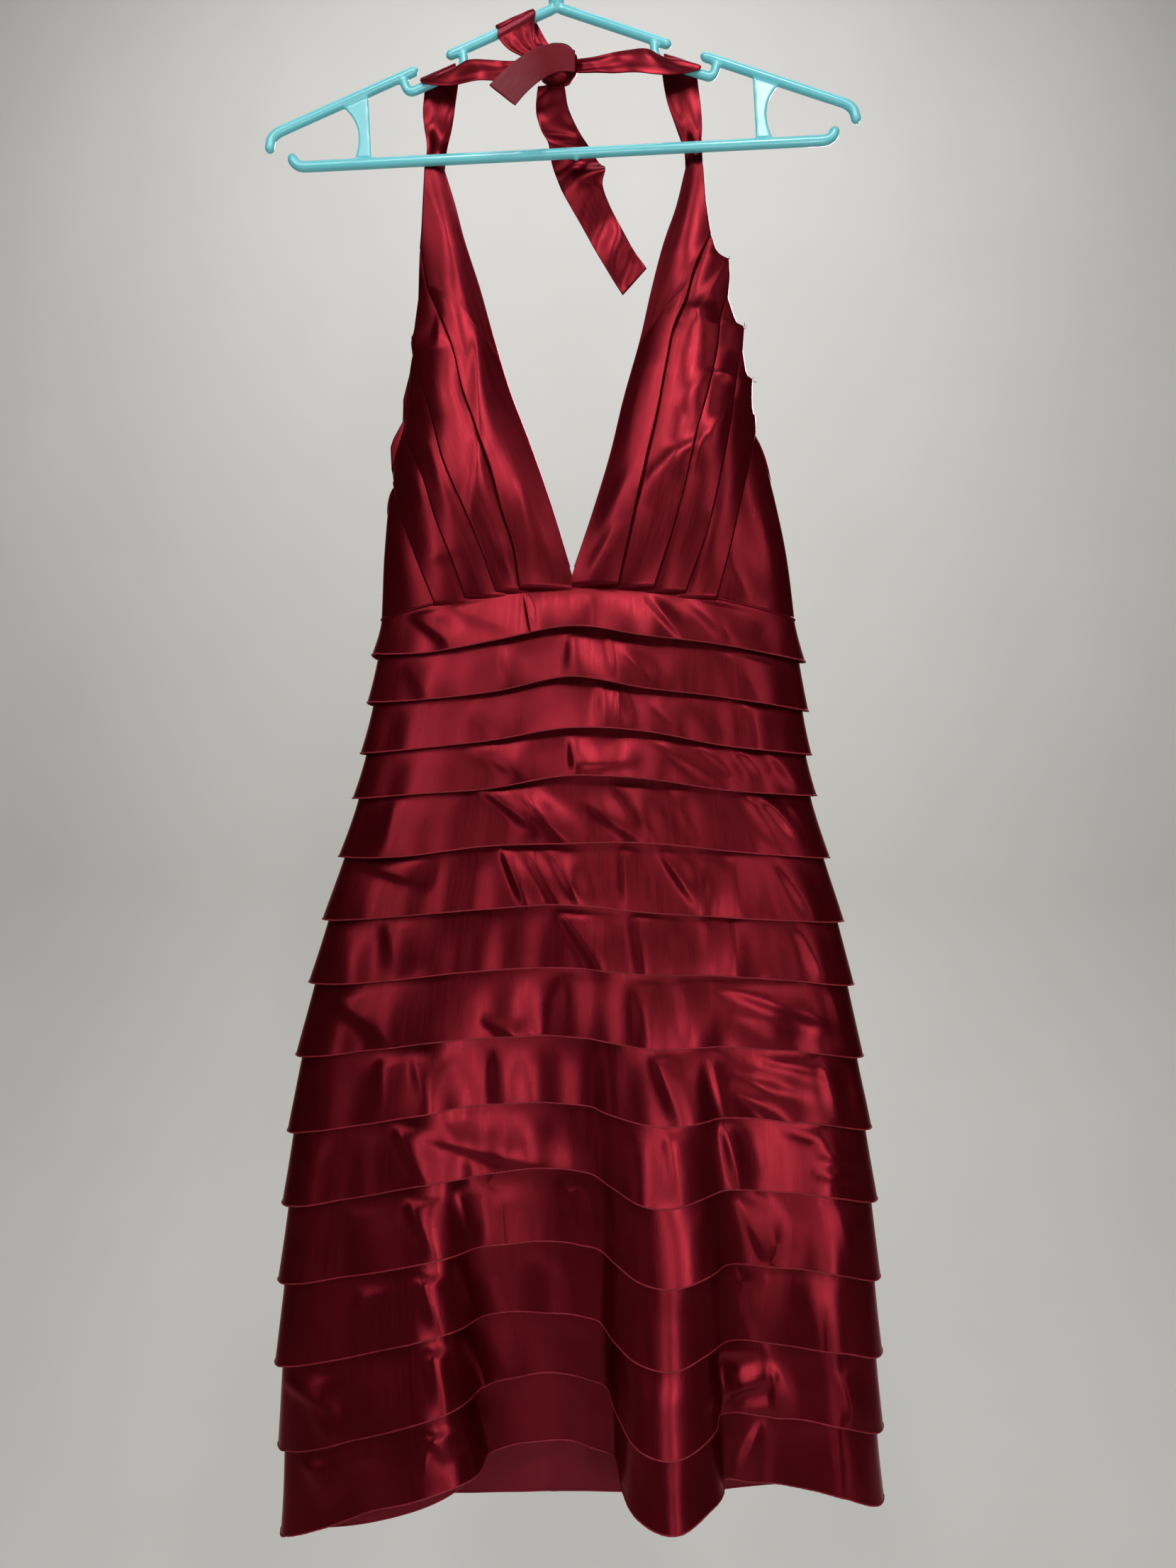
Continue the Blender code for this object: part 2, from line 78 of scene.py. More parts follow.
def new_material(name, **sockets):
    """A Principled material with constants on its own sockets. Returns the material and its node tree."""
    material = bpy.data.materials.new(name)
    material.use_nodes = True
    set_sockets(material.node_tree.nodes["Principled BSDF"], **sockets)
    return material, material.node_tree


def drive(tree, output, socket):
    """A node's output drives a socket of the shader."""
    tree.links.new(output, tree.nodes["Principled BSDF"].inputs[socket])


def squeezed(tree, coordinates, scale):
    """The coordinates times a scale for each axis."""
    mapping = set_sockets(tree.nodes.new("ShaderNodeMapping"), Scale=scale)
    tree.links.new(coordinates, mapping.inputs["Vector"])
    return mapping.outputs["Vector"]


def noise(tree, coordinates, scale, detail=2.0):
    """Noise at that scale, from 0 to 1."""
    node = set_sockets(tree.nodes.new("ShaderNodeTexNoise"), Scale=scale, Detail=detail)
    tree.links.new(coordinates, node.inputs["Vector"])
    return node.outputs["Fac"]


def dye(tree, coordinates, scale, low, high):
    """Noise at that scale, turned into a base colour between low and high."""
    ramp = tree.nodes.new("ShaderNodeValToRGB")
    for stop, place, colour in zip(ramp.color_ramp.elements, (NOISE_LOW, NOISE_HIGH), (low, high)):
        stop.position, stop.color = place, (*colour, 1)
    tree.links.new(noise(tree, coordinates, scale, detail=3.0), ramp.inputs["Fac"])
    drive(tree, ramp.outputs["Color"], "Base Color")


def roughen(tree, coordinates, scale, low, high):
    """Noise at that scale, turned into a roughness between low and high."""
    ends = {"From_Min": NOISE_LOW, "From_Max": NOISE_HIGH, "To_Min": low, "To_Max": high}
    span = set_sockets(tree.nodes.new("ShaderNodeMapRange"), **ends)
    tree.links.new(noise(tree, coordinates, scale), span.inputs["Value"])
    drive(tree, span.outputs["Result"], "Roughness")


def raise_bump(tree, height, strength, distance):
    """The height becomes a bump on the shader."""
    bump = set_sockets(tree.nodes.new("ShaderNodeBump"), Strength=strength, Distance=distance)
    tree.links.new(height, bump.inputs["Height"])
    drive(tree, bump.outputs["Normal"], "Normal")


print("noise used between", NOISE_LOW, "and", NOISE_HIGH)

# %% [markdown]
# ### Satin, its dull back, the hem's thread and the plastic
#
# The weave is drawn on each piece's own UV map, which runs along the cloth in metres, so the threads follow the folds.
# Noise stretched along one direction makes long floats, finer and more natural than a wave texture.


# %% Satin and the other finishes
DYE_SCALE = 22  # patches of dye per metre
SLUBS = (420, 30, 1)  # uneven threads across and along the cloth, per metre


def woven(name, dark, light, rough, floats, bump, **sockets):
    """Cloth with thread floats: noise on the piece's UV map, squeezed across the threads and stretched along them.

    dark and light bound the dye, rough = (least, most), floats = (across, along) per metre, bump = (strength, metres).
    """
    material, tree = new_material(name, **sockets)
    place = tree.nodes.new("ShaderNodeTexCoord").outputs
    dye(tree, place["Object"], DYE_SCALE, dark, light)
    roughen(tree, squeezed(tree, place["UV"], SLUBS), 1, *rough)
    raise_bump(tree, noise(tree, squeezed(tree, place["UV"], (*floats, 1)), 1), *bump)
    return material


satin = woven(
    "red_satin",
    dark=(0.094, 0.0020, 0.0056),
    light=(0.124, 0.0032, 0.0086),
    rough=(0.27, 0.34),
    floats=(2600, 500),
    bump=(0.16, 0.00025),
    Metallic=0.80,
    Anisotropic=0.62,
    Anisotropic_Rotation=0.25,
    Specular_IOR_Level=0.5,
    Specular_Tint=(0.90, 0.50, 0.56, 1),
)
dull_back = woven(
    "satin_reverse",
    dark=(0.115, 0.0030, 0.0095),
    light=(0.140, 0.0042, 0.0120),
    rough=(0.62, 0.72),
    floats=(1800, 1800),
    bump=(0.25, 0.0002),
    Metallic=0.1,
    Specular_IOR_Level=0.15,
)
# The hem thread's lighter base colour is partly its own matte red and partly a painted highlight on the rolled hems and
# loose threads.
hem_thread_and_highlight = woven(
    "hem_thread_and_highlight",
    dark=(0.13, 0.004, 0.010),
    light=(0.23, 0.010, 0.020),
    rough=(0.48, 0.58),
    floats=(1200, 1200),
    bump=(0.7, 0.0004),
    Metallic=0.2,
    Specular_IOR_Level=0.25,
)
plastic, tree = new_material(
    "turquoise_plastic",
    Specular_IOR_Level=0.5,
    Coat_Weight=0.25,
    Coat_Roughness=0.12,
    Subsurface_Weight=0.12,
    Subsurface_Radius=(0.2, 0.6, 0.6),
    Subsurface_Scale=0.002,
)
place = tree.nodes.new("ShaderNodeTexCoord").outputs["Object"]
dye(tree, place, 9, low=(0.105, 0.46, 0.52), high=(0.135, 0.52, 0.575))
roughen(tree, place, 35, low=0.26, high=0.38)
raise_bump(tree, noise(tree, place, 130), strength=0.12, distance=0.0005)
print("finishes:", [material.name for material in bpy.data.materials])

# %% [markdown]
# ## Meshes from grids
#
# Almost every piece here is a grid of points worked out as whole numpy arrays. One helper turns one or more grids into
# a single object, with a UV map in metres and its points in millimetres made metres.


# %% Grids into meshes
def quads_between(index):
    """Quads between the neighbouring rows and columns of an array of point numbers."""
    corners = [index[:-1, :-1], index[1:, :-1], index[1:, 1:], index[:-1, 1:]]
    return np.stack(corners, axis=-1).reshape(-1, 4)


def grid_faces(rows, columns, flip=False):
    """Quads of a grid. They face the viewer of the front when the columns run left to right and the rows down."""
    quads = quads_between(np.arange(rows * columns).reshape(rows, columns))
    return quads[:, ::-1] if flip else quads


def tube_faces(rows, around):
    """Quads of a tube, closed round its columns."""
    index = np.arange(rows * around).reshape(rows, around)
    return quads_between(np.concatenate([index, index[:, :1]], axis=1))


def capped_tube(rows, around):
    """A tube's quads and one many-cornered face over each end."""
    last = (rows - 1) * around
    return tube_faces(rows, around).tolist() + [list(range(around)), list(range(last + around - 1, last - 1, -1))]


def laddered_tube(rows, around):
    """A flat tube's quads and, over each end, a ladder of quads from one of its sides to the other."""
    quads = tube_faces(rows, around).tolist()
    for first in (0, (rows - 1) * around):
        end = first + around - 1
        ladder = [[first + i, first + i + 1, end - 1 - i, end - i] for i in range(around // 2 - 1)]
        quads += ladder if first else [rung[::-1] for rung in ladder]
    return quads


def spans(grid):
    """How far along each row and each column a grid's points lie, in metres of cloth."""
    across = np.linalg.norm(np.diff(grid, axis=1), axis=2).mean(axis=0)
    down = np.linalg.norm(np.diff(grid, axis=0), axis=2).mean(axis=1)
    u, v = np.concatenate([[0], np.cumsum(across)]), np.concatenate([[0], np.cumsum(down)])
    return np.stack(np.meshgrid(u * MM, v * MM), axis=-1)


def flat_size(surface):
    """Width and height of a grid's cloth, in metres to the nearest millimetre."""
    return tuple(round(float(side), 3) for side in spans(surface)[-1, -1])


def new_piece(name, parts, materials):
    """An object from parts: each is (points of a grid, its faces, its material's number)."""
    points, faces, numbers, places, start = [], [], [], [], 0
    for grid, quads, number in parts:
        points.append(grid.reshape(-1, 3) * MM)
        places.append(spans(grid).reshape(-1, 2))
        if isinstance(quads, list):
            faces += [[corner + start for corner in face] for face in quads]
        else:
            faces += (quads + start).tolist()
        numbers += [number] * len(quads)
        start += points[-1].shape[0]
    mesh = bpy.data.meshes.new(name)
    mesh.from_pydata(np.concatenate(points).tolist(), [], faces)
    mesh.polygons.foreach_set("use_smooth", np.ones(len(faces), bool))
    mesh.polygons.foreach_set("material_index", np.array(numbers, np.int32))
    corners = np.empty(len(mesh.loops), np.int32)
    mesh.loops.foreach_get("vertex_index", corners)
    mesh.uv_layers.new(name="cloth").data.foreach_set("uv", np.concatenate(places)[corners].ravel())
    for material in materials:
        mesh.materials.append(material)
    mesh.update()
    piece = bpy.data.objects.new(name, mesh)
    bpy.context.scene.collection.objects.link(piece)
    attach(piece, "root")
    return piece


def make_outward(mesh):
    """Turns the faces of a closed mesh outwards."""
    shape = bmesh.new()
    shape.from_mesh(mesh)
    bmesh.ops.recalc_face_normals(shape, faces=shape.faces)
    shape.to_mesh(mesh)
    shape.free()


print("grid units in a metre of cloth:", round(1 / MM))

# %% [markdown]
# ### Round tubes
#
# Rolled hems, the hanger's rods and loose threads are round tubes along a path.


# %% A tube along a path
LEVEL_PATH = (0.0, 0.0, 1.0)  # the axis for a path that stays near level
END_REACH, END_RADIUS = 0.5, 0.3  # the ring that closes an end, as shares of the tube's radius


def unit(vectors):
    """Vectors divided by their own lengths."""
    return vectors / np.maximum(np.linalg.norm(vectors, axis=-1, keepdims=True), 1e-9)


def tube(path, radius, around=6, axis=(0.0, 1.0, 0.0)):
    """A round profile carried along a path, with its ends drawn in to close it.

    The frame at each point is the path's direction and an axis that the path never follows. radius may change.
    """
    path, radius = np.asarray(path, float), np.broadcast_to(radius, len(path)).astype(float)
    along = unit(np.gradient(path, axis=0))
    side = unit(np.cross(along, np.broadcast_to(axis, along.shape)))
    depth = np.cross(side, along)
    starts = path[0] - along[0] * radius[0] * END_REACH, path[-1] + along[-1] * radius[-1] * END_REACH
    path = np.concatenate([[starts[0]], path, [starts[1]]])
    radius = np.concatenate([[radius[0] * END_RADIUS], radius, [radius[-1] * END_RADIUS]])
    side, depth = (np.concatenate([v[:1], v, v[-1:]]) for v in (side, depth))
    turn = np.linspace(0, 2 * math.pi, around, endpoint=False)
    ring = np.cos(turn)[None, :, None] * side[:, None] + np.sin(turn)[None, :, None] * depth[:, None]
    return path[:, None] + radius[:, None, None] * ring, capped_tube(len(path), around)


print("a short tube has", len(tube([(0, 0, 0), (0, 0, 9)], 1)[1]), "faces")

# %% [markdown]
# ## The skirt's surface
#
# The skirt is one tube of cloth seen as two faces, front and back, that meet at the side seams. Each place on it has a
# share of the way across and a level. A few rings give the tube without folds, and two short tables give the hem as one
# walks along it. The folds are full at the hem and fade out at hip level, which is how loose cloth hangs. A cloth
# simulation could find such folds, but not these very ones, so they are placed one by one.

# %% Driving sizes of the skirt, in millimetres
WAIST_TOP = -507
BAND_HEIGHTS = (30, 33, 33, 30, 42, 44, 45, 51, 50, 52, 55, 54, 58, 54)
OVERLAP = 14
HEM = WAIST_TOP - sum(BAND_HEIGHTS)
FOLD_TOP, FOLD_GROWTH = -700, 1.6  # where the folds begin, and the power at which they grow below that
FULLNESS, ARCH_FALL = 0.85, 2.2  # powers of the cosine: for the tube's section and for the arch of its front
RINGS = (
    # level  middle  half  front  back  seam  yaw  arch
    (-186, 21, 115, 0, 0, 8, 0, 0),
    (-300, 21, 120, 12, 6, 8, 0, 4),
    (-370, 21, 125, 19, 10, 8, 0, 10),
    (-404, 21, 133, 22, 12, 8, 0, 15),
    (-460, 24, 142, 24, 15, 8, 0, 20),
    (-507, 26, 146, 25, 17, 8, 0, 21),
    (-633, 24, 159, 26, 19, 7, 1, 15),
    (-720, 23, 179, 28, 21, 6, 3, 11),
    (-815, 21, 195, 30, 23, 5, 5, 10),
    (-918, 22, 205, 31, 25, 5, 7, 6),
    (-1027, 22, 209, 31, 27, 5, 9, 2),
    (-1141, 25, 208, 31, 29, 5, 11, 0),
)
LEVEL, MIDDLE, HALF, FRONT, BACK, SEAM, YAW, ARCH = (np.array(column, float) for column in zip(*RINGS[::-1]))
FRONT_HEM = (
    # share  across  depth  lift
    (0.00, -183, -6, 0),
    (0.02, -181, -14, 0),
    (0.12, -128, -30, 8),
    (0.255, -57, -26, 34),
    (0.31, -50, 4, 36),
    (0.36, -31, 19, 36),
    (0.48, 31, 21, 36),
    (0.515, 50, 9, 34),
    (0.55, 55, -18, 24),
    (0.59, 63, -34, 13),
    (0.64, 85, -42, 8),
    (0.69, 108, -28, 20),
    (0.74, 114, -4, 25),
    (0.81, 147, 10, 18),
    (0.92, 205, -8, 16),
    (0.98, 230, 6, 2),
    (1.00, 233, 16, 0),
)
BACK_HEM = (
    # share  across  depth  lift
    (0.00, -183, -6, 0),
    (0.02, -181, 2, 0),
    (0.18, -122, 28, -8),
    (0.34, -50, 34, -10),
    (0.50, 22, 39, -12),
    (0.66, 94, 34, -10),
    (0.83, 172, 38, -6),
    (0.98, 230, 26, 0),
    (1.00, 233, 16, 0),
)
TYPICAL_HALF, TYPICAL_DEPTH = 180, 27  # the ellipse that equal shares of cloth are measured on
print("skirt hem at", HEM, "mm")


# %% The skirt as a function
def eased(at, stations, values):
    """The smooth curve through the values at the stations: a cubic on each span, with slopes from its neighbours."""
    stations, values = np.asarray(stations, float), np.asarray(values, float)
    slopes = np.gradient(values, stations)
    at = np.clip(at, stations[0], stations[-1])
    i = np.clip(np.searchsorted(stations, at, side="right") - 1, 0, len(stations) - 2)
    span = stations[i + 1] - stations[i]
    t = (at - stations[i]) / span
    start = (2 * t**3 - 3 * t**2 + 1) * values[i] + (t**3 - 2 * t**2 + t) * span * slopes[i]
    end = (3 * t**2 - 2 * t**3) * values[i + 1] + (t**3 - t**2) * span * slopes[i + 1]
    return start + end


def angle_at(share):
    """The angle round an ellipse whose equal shares are equal lengths of cloth: arc length, read backwards."""
    angles = np.linspace(-math.pi / 2, math.pi / 2, 721)
    steps = np.hypot(TYPICAL_HALF * np.diff(np.sin(angles)), TYPICAL_DEPTH * np.diff(np.cos(angles)))
    along = np.concatenate([[0], np.cumsum(steps)])
    return np.interp(share, along / along[-1], angles)


def ring(share, level, face):
    """The tube without folds: across goes as the sine of the angle, depth as its cosine. The front's face is -1."""
    angle = angle_at(share)
    bulge = eased(level, LEVEL, FRONT if face < 0 else BACK)
    x = eased(level, LEVEL, MIDDLE) + eased(level, LEVEL, HALF) * np.sin(angle)
    y = eased(level, LEVEL, SEAM) + eased(level, LEVEL, YAW) * np.sin(angle) + face * bulge * np.cos(angle) ** FULLNESS
    z = level + (eased(level, LEVEL, ARCH) * np.cos(angle) ** ARCH_FALL if face < 0 else 0)
    return np.stack(np.broadcast_arrays(x, y, z), axis=-1)


def cloth(share, level, face):
    """The tube plus the hem's offset from it, times how far the folds have grown at that level."""
    table = np.array(FRONT_HEM if face < 0 else BACK_HEM, float)
    hem_place = np.stack([eased(share, table[:, 0], table[:, column]) for column in (1, 2, 3)], axis=-1)
    flat = ring(share, HEM, face)
    fold = np.concatenate([hem_place[..., :2] - flat[..., :2], hem_place[..., 2:]], axis=-1)
    growth = np.clip((FOLD_TOP - level) / (FOLD_TOP - HEM), 0, 1) ** FOLD_GROWTH
    return ring(share, level, face) + growth[..., None] * fold


def near_seam(share, start, width):
    """0 over most of the cloth and 1 at the side seams: a straight rise that begins that far from the middle."""
    return np.clip((np.abs(share - 0.5) - start) / width, 0, 1)


def outward(share, level, face):
    """The level direction square to the cloth, away from the body: the step along the cloth, turned a quarter.

    At the side seams it turns straight sideways, so that front and back meet.
    """
    step = 0.002
    along = cloth(share + step, level, face) - cloth(share - step, level, face)
    square = unit(np.stack([along[..., 1], -along[..., 0], np.zeros_like(level)], axis=-1)) * -face
    sideways = np.stack(np.broadcast_arrays(np.sign(share - 0.5), 0.0, 0.0 * level), axis=-1)
    turned = near_seam(share, 0.475, 0.024)[..., None]
    return unit(square * (1 - turned) + sideways * turned)


print("middle of the front's hem:", cloth(np.array(0.5), np.array(float(HEM)), -1).round(1), "mm")

# %% [markdown]
# ## Creases
#
# Satin shows its shape by its highlights, and each one is a small crease. A crease is a ridge along a short line, steep
# on one side and gentle on the other. It rises smoothly at both ends. The front's creases are placed one by one on its
# elevation; the back, which hangs against a wall, gets fewer and softer ones.

# %% Creases of the front: band, from, to, and how wide and high they are
CREASES = (
    # band  x0   z0    x1    z1   wide  high
    (0, -92, -508, -68, -524, 5, 1.6),
    (0, -66, -500, -30, -514, 6, 1.0),
    (0, -18, -494, -13, -517, 1.6, 0.9),
    (0, 72, -497, 90, -518, 3.0, 1.1),
    (0, 104, -500, 131, -522, 6, 1.3),
    (0, 30, -496, 34, -520, 7, 0.8),
    (1, 15, -520, 18, -548, 6, 1.6),
    (1, 43, -522, 49, -549, 5, 1.0),
    (1, 54, -534, 75, -556, 4, 0.9),
    (1, -33, -534, -27, -556, 5, 0.9),
    (1, 128, -535, 150, -566, 9, 1.4),
    (1, -96, -545, -80, -566, 8, 0.8),
    (2, 37, -557, 39, -583, 6, 1.6),
    (2, 47, -560, 48, -582, 3, 0.8),
    (2, 76, -573, 98, -594, 5, 1.1),
    (2, 138, -566, 148, -598, 8, 1.3),
    (2, -50, -573, -30, -590, 7, 0.8),
    (2, 100, -566, 122, -584, 5, 0.7),
    (3, -46, -603, -9, -621, 6, 1.5),
    (3, 15, -594, 20, -616, 5, 1.7),
    (3, 22, -610, 55, -607, 3.5, 0.9),
    (3, 80, -598, 119, -622, 5, 1.2),
    (3, 106, -599, 130, -615, 4, 1.0),
    (3, 131, -598, 146, -614, 4, 1.2),
    (3, 156, -604, 174, -625, 5, 1.2),
    (4, -43, -630, -4, -657, 5, 2.3),
    (4, -19, -632, 15, -667, 5, 2.3),
    (4, 31, -641, 68, -665, 6, 2.0),
    (4, 48, -626, 74, -660, 5, 1.4),
    (4, 86, -632, 104, -660, 6, 1.1),
    (4, 138, -631, 161, -664, 6, 1.8),
    (4, 148, -632, 176, -664, 4, 1.6),
    (4, 165, -634, 187, -666, 5, 1.2),
    (4, -109, -640, -113, -672, 7, 1.3),
    (5, -126, -682, -92, -690, 5, 1.9),
    (5, -32, -674, -16, -707, 4, 2.2),
    (5, -13, -677, 7, -708, 4.5, 2.2),
    (5, 3, -677, 26, -711, 5, 2.2),
    (5, 51, -672, 55, -712, 5, 1.4),
    (5, 81, -677, 104, -708, 4, 1.4),
    (5, 109, -676, 110, -716, 8, 1.5),
    (5, 129, -676, 131, -714, 8, 1.4),
    (5, 163, -684, 185, -717, 6, 1.5),
    (5, -142, -680, -143, -712, 8, 1.0),
    (6, 10, -716, 40, -758, 6, 2.6),
    (6, 60, -718, 69, -758, 7, 1.4),
    (6, 80, -728, 88, -756, 7, 0.9),
    (6, 110, -720, 113, -758, 8, 1.5),
    (6, 129, -722, 131, -760, 8, 1.5),
    (6, 178, -732, 192, -760, 6, 1.6),
    (6, -148, -722, -149, -760, 6, 1.5),
    (6, -114, -724, -106, -750, 8, 1.3),
    (7, -152, -772, -106, -805, 8, 2.5),
    (7, -42, -793, -18, -802, 3, 1.5),
    (7, 13, -762, 13, -804, 9, 1.3),
    (7, 62, -772, 74, -810, 9, 1.5),
    (7, 94, -768, 100, -806, 9, 1.5),
    (7, 112, -764, 114, -806, 8, 1.3),
    (7, 134, -771, 198, -790, 6, 2.4),
    (7, 138, -788, 170, -796, 6, 1.1),
    (7, 196, -772, 207, -811, 5, 1.4),
    (8, -117, -818, -113, -855, 8, 1.9),
    (8, -95, -819, -83, -848, 6, 1.2),
    (8, -38, -818, -36, -850, 6, 1.0),
    (8, 74, -816, 91, -860, 6, 1.8),
    (8, 113, -819, 121, -859, 5, 1.9),
    (8, 136, -843, 174, -863, 5, 2.2),
    (8, 136, -828, 176, -838, 4, 1.2),
    (8, 150, -818, 190, -826, 4, 0.9),
    (8, 192, -822, 203, -862, 5, 1.4),
    (8, 212, -834, 218, -856, 4, 1.1),
    (9, -111, -860, -86, -904, 6, 2.2),
    (9, -72, -876, 10, -893, 6, 2.6),
    (9, 122, -867, 132, -907, 5, 2.2),
    (9, 84, -872, 92, -914, 8, 1.5),
    (9, 192, -884, 216, -890, 5, 1.5),
    (9, 190, -898, 214, -902, 4, 1.1),
    (9, 168, -868, 196, -876, 5, 0.8),
    (10, -100, -913, -78, -958, 7, 2.4),
    (10, -66, -908, -58, -950, 5, 1.6),
    (10, -140, -925, -128, -958, 8, 0.9),
    (10, 8, -901, 26, -946, 6, 1.6),
    (10, 134, -918, 150, -950, 7, 1.2),
    (10, 204, -926, 212, -960, 6, 1.1),
    (11, -95, -964, -75, -1010, 6.5, 2.4),
    (11, -134, -968, -126, -1012, 8, 1.3),
    (11, -68, -966, -57, -999, 4, 1.5),
    (11, 128, -970, 156, -1006, 8, 1.2),
    (11, 180, -984, 196, -1018, 8, 1.0),
    (12, -182, -1048, -154, -1060, 5, 2.2),
    (12, -166, -1062, -152, -1084, 6, 1.8),
    (12, -86, -1015, -74, -1062, 6, 2.3),
    (12, -66, -1009, -50, -1048, 5, 2.8),
    (12, 120, -1036, 114, -1060, 4, 2.8),
    (12, 124, -1050, 152, -1040, 4.5, 3.6),
    (12, 157, -1040, 162, -1066, 4.0, 2.3),
    (12, 118, -1024, 148, -1018, 6, 1.8),
    (12, 138, -1064, 156, -1060, 3.5, 2.0),
    (12, 206, -1046, 214, -1074, 5, 1.5),
    (13, -174, -1096, -157, -1122, 6, 1.7),
    (13, -130, -1086, -122, -1124, 8, 1.1),
    (13, -91, -1077, -76, -1094, 4, 2.0),
    (13, -88, -1090, -90, -1112, 3.5, 1.3),
    (13, 146, -1078, 130, -1108, 5, 1.5),
    (13, 196, -1090, 204, -1120, 7, 1.1),
)
GENTLE, STEEP = 2.2, 0.95  # how wide the two flanks of a crease are, as shares of its width
EYE_X, EYE_AWAY, EYE_Z = 26, 800, -624  # the elevation is seen from here, in millimetres
print("creases placed on the front:", len(CREASES))


# %% Creases as a function
def ridge(x, z, x0, z0, x1, z1, wide, high):
    """A bell curve across the line from 0 to 1, steep on one flank and gentle on the other.

    It widens along the line and fades out beyond both ends.
    """
    long = math.hypot(x1 - x0, z1 - z0)
    along = ((x - x0) * (x1 - x0) + (z - z0) * (z1 - z0)) / long**2
    across = ((x - x0) * (z1 - z0) - (z - z0) * (x1 - x0)) / long
    fade = np.clip(1 - (np.abs(along - 0.5) / 0.85) ** 2, 0, 1) ** 1.4
    wide = wide * (0.8 + 0.6 * along.clip(0, 1)) * np.where(across < 0, GENTLE, STEEP)
    return high * np.exp(-((across / wide) ** 2)) * fade


def seen(points):
    """Where a point appears on the elevation to someone who stands before the cloth: similar triangles."""
    near = EYE_AWAY / (EYE_AWAY + points[..., 1])
    return EYE_X + (points[..., 0] - EYE_X) * near, EYE_Z + (points[..., 2] - EYE_Z) * near


def waves(share, number, face, high):
    """Soft loose folds of one band: a sum of five sines across it whose phases differ from band to band."""
    chance = np.random.default_rng(40 + 7 * number + (face > 0) * 3)
    total = np.zeros_like(share)
    for count in (2.3, 4.1, 6.7, 9.3, 13.1):
        total += chance.uniform(0.5, 1.0) / count**0.5 * np.sin(2 * math.pi * (count * share + chance.uniform()))
    return high * total


print("highest crease:", max(row[-1] for row in CREASES), "mm")

# %% [markdown]
# ## The bands
#
# Each band is a straight strip, sewn to the lining along its top under the band above, and loose at its rolled hem. Its
# section stands out a little more towards the hem, where the stiff rolled edge holds it off the next band. The hem
# line wanders, and a short table says by how much at seven named places. The roll itself is thin tubing, wavy from its
# stitches, in thread coloured lighter than the satin: partly its own matte red and partly a painted highlight along
# the rolled edge.

# %% Where each hem rises above its level line on the front
HEM_WANDER = (
    # left  left_lobe  centre_left  centre  column  valley  right
    (5, -4, -4, 1, -4, -3, 0),
    (4, -3, -5, 1, -5, -5, -2),
    (1, -3, -4, 1, 0, -4, 0),
    (-1, -4, -6, 0, -1, -4, 1),
    (0, -4, -2, -2, -1, -3, -1),
    (0, -1, 0, 2, -3, -4, -2),
    (1, 0, 2, 3, 0, 0, -2),
    (1, 4, 5, 5, 1, 1, -2),
    (-2, 4, 7, 6, 0, 1, -3),
    (0, 7, 8, 11, -2, 2, -3),
    (1, 9, 9, 8, 1, 2, -4),
    (-1, 9, 8, 5, 1, -2, -3),
    (-2, 11, 11, 8, 3, 0, 0),
    (-7, 13, 7, 1, 8, 2, 2),
)
HEM_STANDS_OFF = (
    # across  spread  more: where each hem of the front stands further off the next band, and last the back's hems
    (42, 50, 5.5),
    (34, 36, 4.5),
    (36, 44, 4.5),
    (46, 40, 4.5),
    (10, 60, 2.0),
    (-10, 50, 2.0),
    (20, 50, 1.5),
    (-20, 60, 1.5),
    (-80, 40, 2.0),
    (-40, 50, 2.0),
    (-100, 40, 2.0),
    (-80, 40, 2.0),
    (-80, 30, 2.0),
    (80, 40, 1.0),
    (20, 90, 0.5),
)
WAVINESS = (0.5, 0.5, 0.6, 0.7, 0.9, 1.1, 1.2, 1.5, 1.8, 2.1, 2.3, 2.3, 2.3, 2.2)  # height of the loose folds
WANDER_AT = (0.0, 0.14, 0.30, 0.46, 0.62, 0.78, 1.0)
FRONT_COLUMNS, BACK_COLUMNS, BAND_ROWS = 401, 201, 30
ROLL = 0.6  # radius of the rolled hem
UNDER, STAND_OFF = 1.0, 5.2  # how far a band lies off the lining at its top, and how much more at its hem
CREASE_GAIN = 1.3
BACK_CREASES = 9  # on each band
print("bands on each face:", len(BAND_HEIGHTS), "from the waistband down")


# %% One band
def soft_creases(number, top, tall):
    """Places of a back band's few creases, drawn at random below its sewn top."""
    chance = np.random.default_rng(900 + number)
    for _ in range(BACK_CREASES):
        x0, lean, long = chance.uniform(-170, 205), chance.uniform(-24, 24), chance.uniform(0.3, 0.9)
        start = top - 8 - chance.uniform(0, 0.4) * tall
        yield x0, start, x0 + lean, start - long * tall, chance.uniform(4, 9), chance.uniform(0.4, 1.3)


